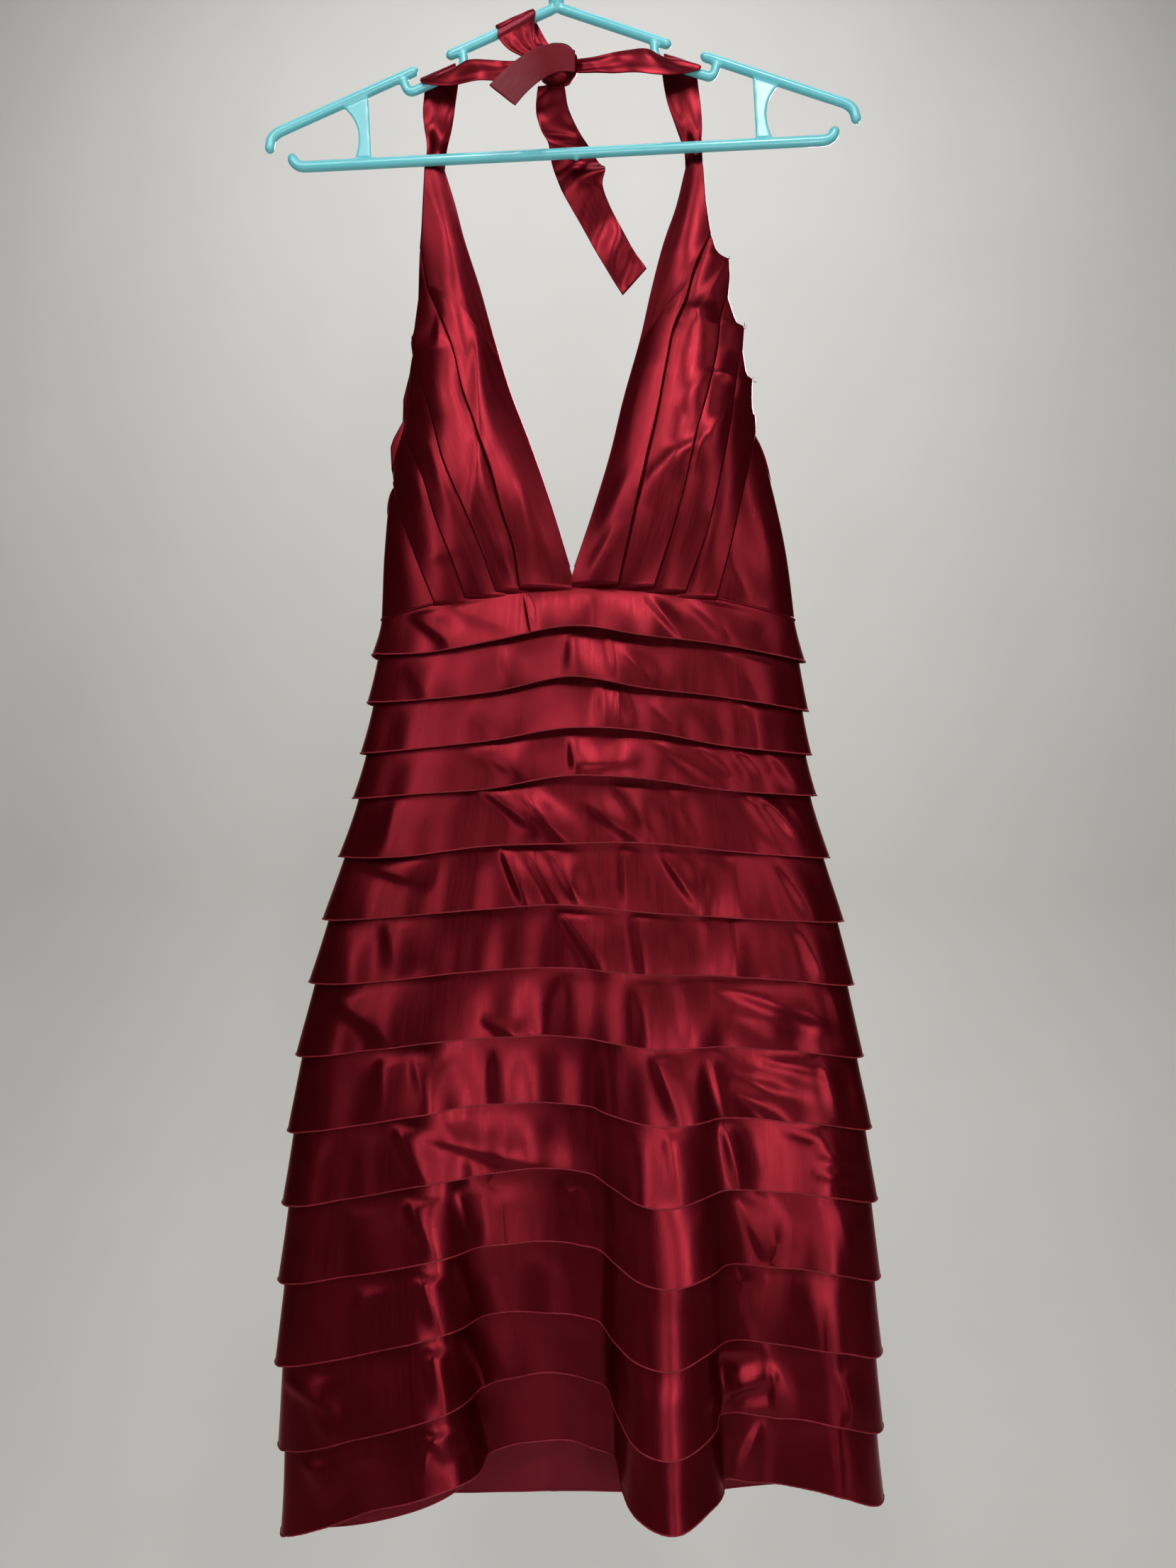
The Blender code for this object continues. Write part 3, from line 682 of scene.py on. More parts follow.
def band_surface(number, face):
    """A grid from the band's hidden top to its hem.

    Each point stands out from the lining by a smooth profile plus creases that fade at the sewn top.
    """
    top = WAIST_TOP - sum(BAND_HEIGHTS[:number]) + (OVERLAP if number else 0)
    bottom = WAIST_TOP - sum(BAND_HEIGHTS[: number + 1])
    share = np.linspace(0, 1, FRONT_COLUMNS if face < 0 else BACK_COLUMNS)[None, :]
    down = (np.linspace(0, 1, BAND_ROWS) ** 0.9)[:, None]
    seam = near_seam(share, 0.465, 0.034)
    seam_wander = np.where(share < 0.5, HEM_WANDER[number][0], HEM_WANDER[number][-1])
    wander = eased(share, WANDER_AT, HEM_WANDER[number]) if face < 0 else waves(share, number + 20, face, 1.2)
    wander = wander * (1 - seam) + seam_wander * seam
    level = top + (bottom + wander - top) * down
    share, down = np.broadcast_arrays(share, down)
    middle = cloth(share, level, face)
    loose = np.clip((down - (OVERLAP / (top - bottom) if number else 0.02)) / 0.35, 0, 1)
    loose = loose * loose * (3 - 2 * loose)
    across, spread, more = HEM_STANDS_OFF[number if face < 0 else -1]
    stand = STAND_OFF + more * np.exp(-(((middle[..., 0] - across) / spread) ** 2))
    out = UNDER + stand * down**1.5 + waves(share, number, face, WAVINESS[number]) * loose * (0.35 + 0.65 * down)
    if face < 0:
        x, z = seen(middle)
        for place in [row[1:] for row in CREASES if row[0] == number]:
            out += CREASE_GAIN * ridge(x, z, *place) * np.clip(loose * 2.5, 0, 1)
    else:
        for place in soft_creases(number, top, top - bottom):
            out += ridge(middle[..., 0], middle[..., 2], *place) * loose
    out = np.maximum(out, 0.9 + 1.3 * down)
    out = out * (1 - seam) + (UNDER + STAND_OFF * down**1.5) * seam
    return middle + out[..., None] * outward(share, level, face)


def rolled_hem(edge):
    """A tube along the band's lower edge whose radius ripples with the stitches."""
    stitch = np.arange(len(edge))
    ripple = 1 + 0.12 * np.sin(stitch * 2.1) + 0.08 * np.sin(stitch * 0.83)
    return tube(edge + (0, 0, -0.2), ROLL * ripple, axis=LEVEL_PATH)


def make_band(number, face):
    """A band and its rolled hem, or the waistband, which has a folded upper edge too."""
    side = "front" if face < 0 else "back"
    node = f"band_{number:02d}_{side}" if number else f"waistband_{side}"
    surface = band_surface(number, face)
    parts = [(surface, grid_faces(*surface.shape[:2], flip=face > 0), 0), (*rolled_hem(surface[-1]), 1)]
    if not number:
        parts.append((*tube(surface[0] + (0, 0, -0.3), 1.0, axis=LEVEL_PATH), 0))
    piece = new_piece(f"satin_{node}", parts, [satin, hem_thread_and_highlight])
    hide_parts(node)
    flat_size(surface)


print("rows and columns of a front band:", BAND_ROWS, FRONT_COLUMNS)

# %% [markdown]
# ## The lining
#
# Behind the bands hangs the plain lining that they are sewn to. It shows inside the hem and at the back of the waist,
# and it is the satin's dull reverse.


# %% The lining's two faces
LINING_COLUMNS, LINING_ROWS = 181, 90


def make_lining(face):
    """The skirt's own surface, about half a millimetre in, from the waist to just above the hem."""
    side = "front" if face < 0 else "back"
    share = np.linspace(0, 1, LINING_COLUMNS)[None, :]
    level = np.linspace(WAIST_TOP - 2, HEM + 3, LINING_ROWS)[:, None]
    share, level = np.broadcast_arrays(share, level)
    soft = waves(share, 60, face, 0.5) * np.clip((WAIST_TOP - level) / 200, 0, 1)
    surface = cloth(share, level, face) + (soft - 0.6)[..., None] * outward(share, level, face)
    edge = tube(surface[-1], 0.6, axis=LEVEL_PATH)
    parts = [(surface, grid_faces(*surface.shape[:2], flip=face > 0), 0), (*edge, 1)]
    piece = new_piece(f"lining_cloth_{side}", parts, [dull_back, hem_thread_and_highlight])
    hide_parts(f"lining_{side}")
    flat_size(surface)


for face in (-1, 1):
    make_lining(face)
    for number in range(len(BAND_HEIGHTS)):
        make_band(number, face)
print("linings, waistbands and bands made:", 2 * (1 + len(BAND_HEIGHTS)))

# %% [markdown]
# ## The pleated cups
#
# Each cup is folded into four flat pleats that run from the strap to the waist. The pleat along the neckline lies on
# top, and each of the others comes out from under it, with its folded edge towards the armhole. They could be one
# surface with steps, but separate strips give the real thing: a rounded folded edge with a dark gap beneath.

# %% The cups' outlines and folded edges
NECK_LEFT = (
    # each pair: height  across
    (-186, -77), (-211, -69.3), (-237, -62.5), (-275, -50.5), (-311, -40.5), (-351, -28.5), (-383, -16.5),
    (-429, -0.5), (-480, 15.0),
)
EDGES_LEFT = (
    # each row is a folded edge, from where it leaves the armhole down to the waist, in pairs: height  across
    (
        (-246, -92), (-279, -85.5), (-299, -76.3), (-319, -68.7), (-351, -60.7), (-377, -51.7), (-407, -40.7),
        (-437, -32.7), (-461, -24.7), (-489, -21.2),
    ),
    (
        (-307, -99), (-327, -95.7), (-355, -86.7), (-377, -80.7), (-399, -74.7), (-427, -62.7), (-459, -48.7),
        (-492, -37.2),
    ),
    ((-355, -104.5), (-371, -103.7), (-391, -96.7), (-411, -88.7), (-443, -78.7), (-467, -68.7), (-493, -59.5)),
    ((-411, -111.7), (-431, -106.7), (-459, -96.7), (-497, -81.2)),
)
ARM_LEFT = (
    # each pair: height  across
    (-186, -89.5), (-231, -91.5), (-248, -92.8), (-281, -93.7), (-303, -96.7), (-311, -99.3), (-321, -97.7),
    (-335, -100.7), (-351, -104.7), (-367, -105.2), (-379, -111.7), (-385, -113.7), (-401, -113),
    (-409, -111.2), (-497, -98),
)
NECK_RIGHT = (
    # each pair: height  across
    (-186, 95.8), (-217, 88.2), (-237, 81.3), (-275, 71.3), (-311, 63.3), (-355, 51.3), (-397, 41.3),
    (-437, 29.3), (-480, 14.9),
)
EDGES_RIGHT = (
    # each row is a folded edge, from where it leaves the armhole down to the waist, in pairs: height  across
    (
        (-236, 112.5), (-259, 101.5), (-287, 93.3), (-303, 86.3), (-335, 79.3), (-367, 73.3), (-401, 65.3),
        (-441, 56.3), (-487, 46.3),
    ),
    (
        (-279, 124), (-295, 119.3), (-319, 116.3), (-351, 109.3), (-379, 101.3), (-415, 93.3), (-451, 83.3),
        (-488, 71.3),
    ),
    ((-311, 135), (-319, 133.3), (-343, 129.3), (-371, 125.3), (-407, 118.3), (-445, 109.3), (-491, 93.3)),
    ((-363, 144), (-371, 144.3), (-397, 139.3), (-431, 131.3), (-461, 124.3), (-494, 115.3)),
)
ARM_RIGHT = (
    # each pair: height  across
    (-186, 107.2), (-211, 108.8), (-235, 112.3), (-247, 116), (-251, 119.5), (-252.5, 125.2), (-258, 125.4),
    (-265, 125.8), (-281, 124.2), (-294, 128.5), (-299, 131), (-301, 136.2), (-306, 135.8), (-319, 134.8),
    (-333, 137), (-336, 138.5), (-337.5, 142.6), (-343, 141.8), (-357, 141.6), (-371, 144.3), (-497, 138),
)
CUP_CREASES = (
    # x0  z0   x1    z1   wide  high
    (-90, -262, -62, -300, 8, 1.6),
    (-74, -232, -62, -268, 9, 1.0),
    (-86, -208, -70, -236, 6, 0.9),
    (-52, -318, -50, -382, 5, 2.0),
    (-80, -296, -79, -310, 3, 1.2),
    (-52, -388, -55, -432, 5, 1.8),
    (-20, -420, -12, -470, 6, 1.0),
    (-84, -388, -70, -426, 6, 1.0),
    (-98, -318, -84, -352, 6, 1.1),
    (-100, -404, -90, -424, 6, 1.0),
    (-102, -470, -70, -458, 5, 0.8),
    (-40, -452, -24, -480, 4, 0.9),
    (100, -208, 84, -262, 8, 1.2),
    (112, -246, 88, -292, 5, 1.3),
    (122, -262, 100, -300, 5, 1.4),
    (104, -382, 84, -394, 5, 2.2),
    (86, -392, 66, -414, 6, 2.2),
    (110, -338, 94, -352, 6, 1.3),
    (126, -360, 106, -384, 5, 1.5),
    (96, -286, 107, -294, 3, 1.0),
    (66, -330, 48, -372, 7, 1.0),
    (56, -404, 42, -440, 7, 1.2),
    (44, -446, 30, -474, 5, 1.2),
    (90, -420, 78, -470, 6, 0.8),
    (120, -332, 136, -338, 4, 1.0),
    (112, -440, 104, -478, 5, 0.9),
)
BUST = 9  # how far the fullest place of a cup stands out
CUP_TOP, CUP_FOOT = -186, -497
PLEAT_ROWS, PLEAT_COLUMNS = 150, 34
BACKING_ROWS, BACKING_COLUMNS = 110, 40
FRAYED_CORNERS = (-253, -301.5, -338)  # heights on the right armhole
FRAYS = 6  # loose threads at each corner
print("creases on the cups:", len(CUP_CREASES))


# %% A pleat as a function
def front_y(x, level):
    """Depth of the bodice's front: an ellipse across each level."""
    across = np.clip((x - eased(level, LEVEL, MIDDLE)) / eased(level, LEVEL, HALF), -1, 1)
    return eased(level, LEVEL, SEAM) - eased(level, LEVEL, FRONT) * np.sqrt(1 - across**2)


def waist_edge(x):
    """Height of the waistband's upper edge."""
    across = np.clip((x - eased(WAIST_TOP, LEVEL, MIDDLE)) / eased(WAIST_TOP, LEVEL, HALF), -1, 1)
    return WAIST_TOP + eased(WAIST_TOP, LEVEL, ARCH) * (1 - across**2) ** 1.1


def line_at(z, line):
    """The place across of an outline at a height. An armhole keeps its corners, and any other outline is smooth."""
    table = np.array(line[::-1], float)
    if line in (ARM_LEFT, ARM_RIGHT):
        return np.interp(z, table[:, 0], table[:, 1])
    return eased(z, table[:, 0], table[:, 1])


def cup_depth(x, z, neck, arm):
    """Depth of the cup: the bodice's front, swollen in the middle of the cup and most of all below the strap."""
    inner, outer = line_at(z, neck), line_at(z, arm)
    place = np.clip((x - inner) / (outer - inner), 0, 1)
    up = np.clip((z - CUP_FOOT) / (CUP_TOP - CUP_FOOT), 0, 1)
    return front_y(x, z) - 1.6 - BUST * np.sin(math.pi * place) * 6.75 * up * (1 - up) ** 2


def pleat(neck, arm, edges, number):
    """One strip: it starts tucked under the pleat nearer the neckline and ends in a folded edge that turns back.

    Its face rises towards that edge.
    """
    inner_line = neck if number == 0 else edges[number - 1]
    outer_line = edges[number]
    hand = 1 if arm[0][1] > 0 else -1
    top = inner_line[0][0]
    foot_x = outer_line[-1][1]
    foot = float(waist_edge(np.array(foot_x))) - 3.5
    z = (top + (foot - top) * np.linspace(0, 1, PLEAT_ROWS))[:, None]
    inner = line_at(z, inner_line) - (hand * 6.0 if number else 0)
    fold = np.where(z > outer_line[0][0], line_at(z, arm), line_at(z, outer_line))
    share = np.concatenate([np.linspace(0, 1, PLEAT_COLUMNS), [1.0, 1.0, 1.0]])[None, :]
    turn = np.concatenate([np.zeros(PLEAT_COLUMNS), [0.35, 0.7, 1.0]])[None, :]
    narrow = np.clip(np.abs(fold - inner) / 8, 0, 1)
    x = inner + (fold - inner) * share + hand * (0.5 * np.sin(turn * math.pi) - 2.2 * np.clip(turn - 0.6, 0, 1))
    rise = (0.2 + 3.4 * share**1.4 + 1.2 * np.sin(math.pi * share)) * (0.3 + 0.7 * narrow)
    rise = rise + (1.2 if number == 0 else 0) - 2.2 * turn
    z_field = np.broadcast_to(z, x.shape)
    y = cup_depth(x, z_field, neck, arm) - rise
    seen_x, seen_z = seen(np.stack([x, y, z_field], axis=-1))
    for row in CUP_CREASES:
        y = y - ridge(seen_x, seen_z, *row) * 0.9 * np.clip(1.2 - 1.1 * turn, 0, 1) * np.minimum(1, 0.3 + share * 2)
    tuck = np.clip((z_field - foot) / 4, 0, 1)
    y = y * tuck + (front_y(x, z_field) - 0.6) * (1 - tuck)
    return np.stack([x, y, z_field], axis=-1)


def frayed_threads(corner_z, neck, arm, chance):
    """Loose threads at a corner of the armhole: thin tubes along short curved paths."""
    x = line_at(corner_z, arm)
    corner = np.array((x - 0.6, float(cup_depth(x, corner_z, neck, arm)) - 0.8, corner_z))
    along = np.linspace(0, 1, 8)[:, None]
    for _ in range(FRAYS):
        aim, curl = chance.uniform((0.4, -1.2, -0.6), (1.6, 0.4, 1.4)), chance.uniform(-1.2, 1.2, 3)
        yield tube(corner + along * aim * 2.2 + along**2 * curl, 0.16, 5)


def make_cup(name, neck, arm, edges):
    """Four pleats, a dull backing that closes the cup behind them, and a thin roll along its two free edges."""
    hand = 1 if name == "right" else -1
    parts = []
    for number in range(len(edges)):
        strip = pleat(neck, arm, edges, number)
        parts.append((strip, grid_faces(*strip.shape[:2], flip=hand < 0), 0))
    level = np.linspace(CUP_TOP, CUP_FOOT, BACKING_ROWS)[:, None]
    share = np.linspace(0, 1, BACKING_COLUMNS)[None, :]
    last = np.where(level > edges[3][0][0], line_at(level, arm), line_at(level, edges[3]))
    x = line_at(level, neck) * (1 - share) + last * share
    backing = np.stack([x, cup_depth(x, level, neck, arm) + 0.7, np.broadcast_to(level, x.shape)], axis=-1)
    parts.append((backing, grid_faces(*backing.shape[:2], flip=hand < 0), 1))
    parts += [(*tube(line + (0, -0.7, 0), 0.6), 0) for line in (backing[:102, 0], backing[:80, -1])]
    chance = np.random.default_rng(7)
    for corner_z in FRAYED_CORNERS if hand > 0 else ():
        parts += [(*thread, 2) for thread in frayed_threads(corner_z, neck, arm, chance)]
    piece = new_piece(f"pleated_cup_{name}", parts, [satin, dull_back, hem_thread_and_highlight])
    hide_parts(f"cup_{name}")


make_cup("left", NECK_LEFT, ARM_LEFT, EDGES_LEFT)
make_cup("right", NECK_RIGHT, ARM_RIGHT, EDGES_RIGHT)
print("cups made")

# %% [markdown]
# ## The side panels
#
# A plain panel closes each side between the cup and the back. It is stretched flat, so it has only a few soft pulls.

# %% The side panels
PULLS = (
    # x0   z0    x1    z1   wide  high
    (-108, -450, -98, -492, 6, 0.8),
    (-116, -430, -112, -470, 7, 0.6),
    (120, -440, 128, -488, 6, 1.2),
    (138, -410, 150, -470, 8, 1.0),
    (124, -470, 140, -492, 5, 0.9),
    (150, -440, 162, -490, 7, 0.7),
)


def make_side_panel(name, crest_start, fold):
    """From the cup's last folded edge round the side to the back, below a crest that falls towards the back.

    It follows the body's ellipse, turned through an angle that grows across the panel.
    """
    hand = 1 if name == "right" else -1
    back_edge = math.radians(152)
    across, up = np.linspace(-0.06, 1, 90)[None, :], np.linspace(0, 1, 60)[:, None]
    share = np.clip(across, 0, 1)
    crest = crest_start + (WAIST_TOP + 7 - crest_start) * share**1.4
    low_middle, low_half = eased(WAIST_TOP, LEVEL, MIDDLE), eased(WAIST_TOP, LEVEL, HALF)
    low_start = math.asin(abs(fold[-1][1] - hand * 5 - low_middle) / low_half)
    low_angle = low_start + (back_edge - low_start) * across
    low_edge = waist_edge(low_middle + hand * low_half * np.sin(low_angle))
    foot = np.where(low_angle < math.pi / 2, low_edge, WAIST_TOP) - 8
    z = foot + up * (crest - foot)
    middle, half = eased(z, LEVEL, MIDDLE), eased(z, LEVEL, HALF)
    start = np.arcsin(np.minimum(0.985, np.abs(line_at(z, fold) - hand * 5 - middle) / half))
    angle = start + (back_edge - start) * across
    bulge = np.where(angle < math.pi / 2, eased(z, LEVEL, FRONT), eased(z, LEVEL, BACK))
    out = 0.7 + 0.6 * np.sin(math.pi * share)
    x = middle + hand * (half + out) * np.sin(angle)
    y = eased(z, LEVEL, SEAM) - (bulge + out) * np.cos(angle)
    front = np.clip(3 * np.cos(angle), 0, 1)
    for row in PULLS:
        y = y - ridge(x, z, *row) * front
    surface = np.stack([x, y, z], axis=-1)[::-1]
    edge = tube(surface[0], 0.8, axis=LEVEL_PATH)
    parts = [(surface, grid_faces(*surface.shape[:2], flip=hand < 0), 0), (*edge, 0)]
    piece = new_piece(f"side_cloth_{name}", parts, [satin])
    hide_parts(f"side_panel_{name}")
    flat_size(surface)


make_side_panel("left", -412, ((-405, -110), *EDGES_LEFT[3]))
make_side_panel("right", -374, ((-355, 142), *EDGES_RIGHT[3]))
print("side panels made")

# %% [markdown]
# ## Straps, ties and knot
#
# The straps run on into flat ties. Each comes up behind the hanger's bar, turns over the notch and goes across the
# front to the knot. A tie is a flat tube of satin, so its section is a thin loop carried along a path, and it bunches
# into lengthwise furrows where it is drawn narrow.

# %% A tie as a function
ROD, STRAP_WALL = 7.0, 1.2
TIE_AROUND, TIE_STEPS = 44, 16  # points round a tie's section, and sections from one station to the next


def over_rod(x, z, lean, width):
    """Stations of a tie that comes up behind a rod, turns over it and comes down in front: points on a half circle."""
    clear = ROD / 2 + 0.9 + STRAP_WALL / 2
    turn = np.radians([0, 45, 90, 135, 180])
    up, back, slant = clear * np.sin(turn), clear * np.cos(turn), math.radians(lean)
    return [(x - u * math.sin(slant), b, z + u * math.cos(slant), width, lean, 0) for u, b in zip(up, back)]


def tie(stations, furrow=0.35, furrows=1.6, shift=0.0, crumple=0.35):
    """A thin loop section carried along the stations: middle, width, the lean of its width, and how far it turns away.

    Furrows are cosines across it, deeper where it is narrow, and crumple gives it ripples along its length.
    """
    table = np.array(stations, float)
    place = np.arange(len(table))
    at = np.linspace(0, len(table) - 1, (len(table) - 1) * TIE_STEPS + 1)
    x, y, z, width, lean, turn = (eased(at, place, column) for column in table.T)
    middle = np.stack([x, y, z], axis=-1)
    lean, turn = np.radians(lean), np.radians(turn)
    across = np.stack([np.cos(lean) * np.cos(turn), np.sin(turn), np.sin(lean) * np.cos(turn)], axis=-1)
    normal = unit(np.cross(np.gradient(middle, axis=0), across))
    round_it = np.linspace(0, 2 * math.pi, TIE_AROUND, endpoint=False)
    side, face = np.cos(round_it), np.sin(round_it)
    side = np.sign(side) * np.abs(side) ** 0.8
    thick = np.sign(face) * np.abs(face) ** 0.35 * STRAP_WALL / 2
    drawn = np.clip(1.5 - width / 22, 0.15, 1)[:, None]
    wander = shift + 0.8 * np.sin(at * 1.3)[:, None]
    groove = furrow * drawn * np.cos(math.pi * furrows * side[None, :] + wander) * (1 - side[None, :] ** 4)
    slant = at[:, None] + 0.35 * side[None, :]
    ripple = crumple * (np.sin(2.9 * slant + shift) + 0.6 * np.sin(4.7 * slant + 2 * shift))
    ripple = ripple * (1 - 0.5 * side[None, :] ** 2)
    grid = (
        middle[:, None]
        + across[:, None] * (width / 2)[:, None, None] * side[None, :, None]
        + normal[:, None] * (thick[None, :] + groove + ripple)[..., None]
    )
    return grid, laddered_tube(*grid.shape[:2])


def make_tie(name, node, stations, held, rests_on, finish=satin, **looks):
    """A tie in one finish, carried along its stations."""
    piece = new_piece(name, [(*tie(stations, **looks), 0)], [finish])
    make_outward(piece.data)
    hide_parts(node)
    table = np.array(stations, float)
    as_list(rests_on)


print("half the way over a rod:", over_rod(0, 0, 0, 0)[2][2], "mm above its middle")


# %% The straps and ties, station by station
LEFT_STRAP = (
    # x  y  z  width  lean  turn
    (-83, 6, -196, 14.5, 0, 0),
    (-83, 8, -185.5, 14, 0, 0),
    (-82, 9, -171, 15, 0, 28),
    (-81, 8.5, -155, 20, 2, 12),
    (-80, 7.5, -141, 24, 12, 0),
    *over_rod(-78, -126.0, 24, 27),
    (-66, -7.5, -126.5, 23, 52, 0),
    (-50, -8.5, -125, 17, 74, 8),
    (-33, -8.5, -125.5, 14, 90, 0),
    (-16, -6.5, -122.5, 11, 90, 0),
    (-5, -4, -120, 10, 90, 0),
)
RIGHT_STRAP = (
    (101.5, 6, -196, 14, 0, 0),
    (101.7, 8, -185.5, 12.5, 0, 0),
    (101, 9, -171, 13.5, 0, -28),
    (98, 8.5, -154, 19, -2, -12),
    (94, 7.5, -137, 25, -10, 0),
    *over_rod(91, -118.1, -18, 27),
    (76, -8, -119, 24, -50, 0),
    (58, -9, -119, 18, -76, -8),
    (41, -9, -120.5, 14, -90, 0),
    (26, -6.5, -120.5, 10.5, -90, 0),
    (12, -4, -119.5, 9, -90, 0),
)
ARM_LOOP = (
    (-3, 4.5, -104, 14, 0, 0),
    (-12, 6.5, -99, 20, 12, 0),
    *over_rod(-24, -88.2, 24, 29),
    (-24, -8.5, -98, 27, 20, 0),
    (-20, -9, -108, 20, 16, 0),
    (-13, -9, -114, 16, 12, 0),
)
SHORT_TAIL = (
    (17, -13.5, -122, 15, -90, 0),
    (6, -15.5, -121, 19, -84, 0),
    (-4, -20, -126, 21, -70, 0),
    (-14, -34, -141, 21, -52, 0),
    (-22, -58, -164, 21, -42, 0),
    (-28, -85, -189, 21, -38, 0),
)
LONG_TAIL = (
    (0, 0, -131, 19, 0, 0),
    (1, 3, -146, 24, 0, 6),
    (7.5, 8, -160, 32, -4, 18),
    (16, 11, -173, 38, -8, 16),
    (21, 12, -187, 36, 4, -14),
    (24.5, 14, -201, 27, 22, -8),
    (36, 18, -222, 24.5, 28, 0),
    (48, 21, -242, 24.5, 30, 0),
    (60, 23, -259, 26, 48, 0),
)
make_tie("tie_strap_left", "strap_left", LEFT_STRAP, "folded", ["hanger"], shift=0.4)
make_tie("tie_strap_right", "strap_right", RIGHT_STRAP, "folded", ["hanger"], shift=2.0)
make_tie("tie_loop", "arm_loop", ARM_LOOP, "folded", ["hanger"], furrow=0.7, furrows=2.2, shift=1.0)
short, long = {"furrow": 0.1, "shift": 0.2, "crumple": 0.15}, {"furrow": 0.25, "shift": 0.7, "crumple": 1.3}
make_tie("tie_tail_short", "tail_short", SHORT_TAIL, "hung", ["knot_of_ties"], finish=dull_back, **short)
make_tie("tie_tail_long", "tail_long", LONG_TAIL, "hung", ["knot_of_ties"], **long)
print("ties made")

# %% [markdown]
# ## The knot
#
# The ties cross and wrap once over themselves. Worked out as a surface, the knot is a ball pressed flat whose skin has
# slanting grooves: two turns of cloth that cross, each with its own furrows.


# %% The knot
KNOT_MIDDLE, KNOT_HALF = (4.5, -3.5, -118.5), (14.3, 8.7, 14.3)
KNOT_ROWS, KNOT_AROUND, KNOT_RADIUS = 80, 120, 13


def make_knot():
    """Radius of the pressed ball less grooves that run slantwise: the sine of a mix of the two angles."""
    turn = np.linspace(0, 2 * math.pi, KNOT_AROUND, endpoint=False)[None, :]
    tilt = np.linspace(-math.pi / 2 + 0.04, math.pi / 2 - 0.04, KNOT_ROWS)[:, None]
    level = np.cos(tilt)
    ball = np.stack(np.broadcast_arrays(level * np.cos(turn), level * np.sin(turn), np.sin(tilt)), axis=-1)
    wrap = np.abs(np.sin(1.5 * tilt - 1.0 * np.cos(turn - 0.4)))
    furrows = 0.5 * np.sin(9 * tilt + 5 * np.cos(turn)) * level
    skin = 1.0 - 1.6 / KNOT_RADIUS * np.exp(-((wrap / 0.16) ** 2)) + furrows * 0.4 / KNOT_RADIUS
    squared = np.sign(ball) * np.abs(ball) ** 0.85
    grid = np.array(KNOT_MIDDLE) + squared * np.array(KNOT_HALF) * skin[..., None]
    piece = new_piece("knot_of_ties", [(grid, capped_tube(KNOT_ROWS, KNOT_AROUND), 0)], [satin])
    make_outward(piece.data)
    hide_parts("knot")


make_knot()
print("knot made")

# %% [markdown]
# ## The hanger
#
# The hanger is one moulding: round rods for the shoulders, the bar and the hook, small steps that form a notch for the
# straps on each side, and a flat web near each end. Rods laid on one another and joined by a voxel remesh melt into one
# skin with soft fillets, which is how a moulding looks. A union of cylinders would leave hard creases.

# %% Driving sizes of the hanger
HANGER_TILT = math.radians(2.9)
HOOK_RADIUS, PEAK, SLOPE = 23.0, -75.5, 0.39
UPPER_ARM_END, NOTCH_START, NOTCH_END, NOTCH_DROP = 79.5, 67.5, 108.5, 14.0
OUTER_ARM_START, OUTER_ARM_END = 100.0, 207.0
BAR, BAR_HEIGHT, BAR_END = 7.6, -179.0, 184.0
PLATE_INNER, PLATE_TOP, PLATE_BOTTOM, PLATE_WAIST, PLATE_HALF = 136.0, 156.0, 149.0, 8.0, 1.3
WEB_ROWS, WEB_COLUMNS = 24, 12
print("hanger from tip to tip, about:", 2 * OUTER_ARM_END + ROD, "mm")


# %% Rods and webs
def hung(places):
    """Places (across, height) on the hanger turned by its tilt, with no depth."""
    across, height = np.array(places, float).T
    cos, sin = math.cos(HANGER_TILT), math.sin(HANGER_TILT)
    return np.stack([across * cos - height * sin, 0 * across, across * sin + height * cos], axis=-1)


def arc(middle, radius, start, end, count):
    """Places on a circle, from one angle to another in degrees."""
    angles = np.radians(np.linspace(start, end, count))
    return [(middle[0] + radius * math.cos(a), middle[1] + radius * math.sin(a)) for a in angles]


def shoulder(across):
    """Height of the straight shoulder line at a place across."""
    return PEAK - SLOPE * abs(across)


def rod(places, diameter):
    """A round rod through the places, resampled evenly, with domed ends: the radius falls as a quarter circle."""
    route = hung(places)
    length = np.concatenate([[0], np.cumsum(np.linalg.norm(np.diff(route, axis=0), axis=1))])
    even = np.linspace(0, length[-1], max(8, int(length[-1] / 1.5)))
    path = np.stack([np.interp(even, length, route[:, i]) for i in range(3)], axis=-1)
    for _ in range(2):
        path[1:-1] = (path[:-2] + 2 * path[1:-1] + path[2:]) / 4
    near = np.minimum(even, even[-1] - even) / (diameter / 2)
    radius = diameter / 2 * np.sqrt(np.clip(1 - (1 - np.clip(near, 0.05, 1)) ** 2, 0, 1))
    return tube(path, radius, 20)


def web(hand):
    """The flat web: an outline with a hollowed outer edge, given two faces."""
    foot = BAR_HEIGHT
    step, share = np.linspace(0, 1, WEB_ROWS)[:, None], np.linspace(0, 1, WEB_COLUMNS)[None, :]
    outer = PLATE_BOTTOM + (PLATE_TOP - PLATE_BOTTOM) * step - PLATE_WAIST * np.sin(math.pi * step)
    outer_height = foot + (PEAK - SLOPE * outer - foot) * step
    inner_height = foot + (shoulder(PLATE_INNER) - foot) * step
    across = hand * (PLATE_INNER * (1 - share) + outer * share)
    height = inner_height * (1 - share) + outer_height * share
    flat = hung(np.stack([across.ravel(), height.ravel()], axis=-1)).reshape(WEB_ROWS, WEB_COLUMNS, 3)
    loop = np.concatenate([flat + (0, -PLATE_HALF, 0), (flat + (0, PLATE_HALF, 0))[:, ::-1]], axis=1)
    return loop, laddered_tube(WEB_ROWS, 2 * WEB_COLUMNS)


print("drop of the shoulder at its tip:", SLOPE * OUTER_ARM_END, "mm")


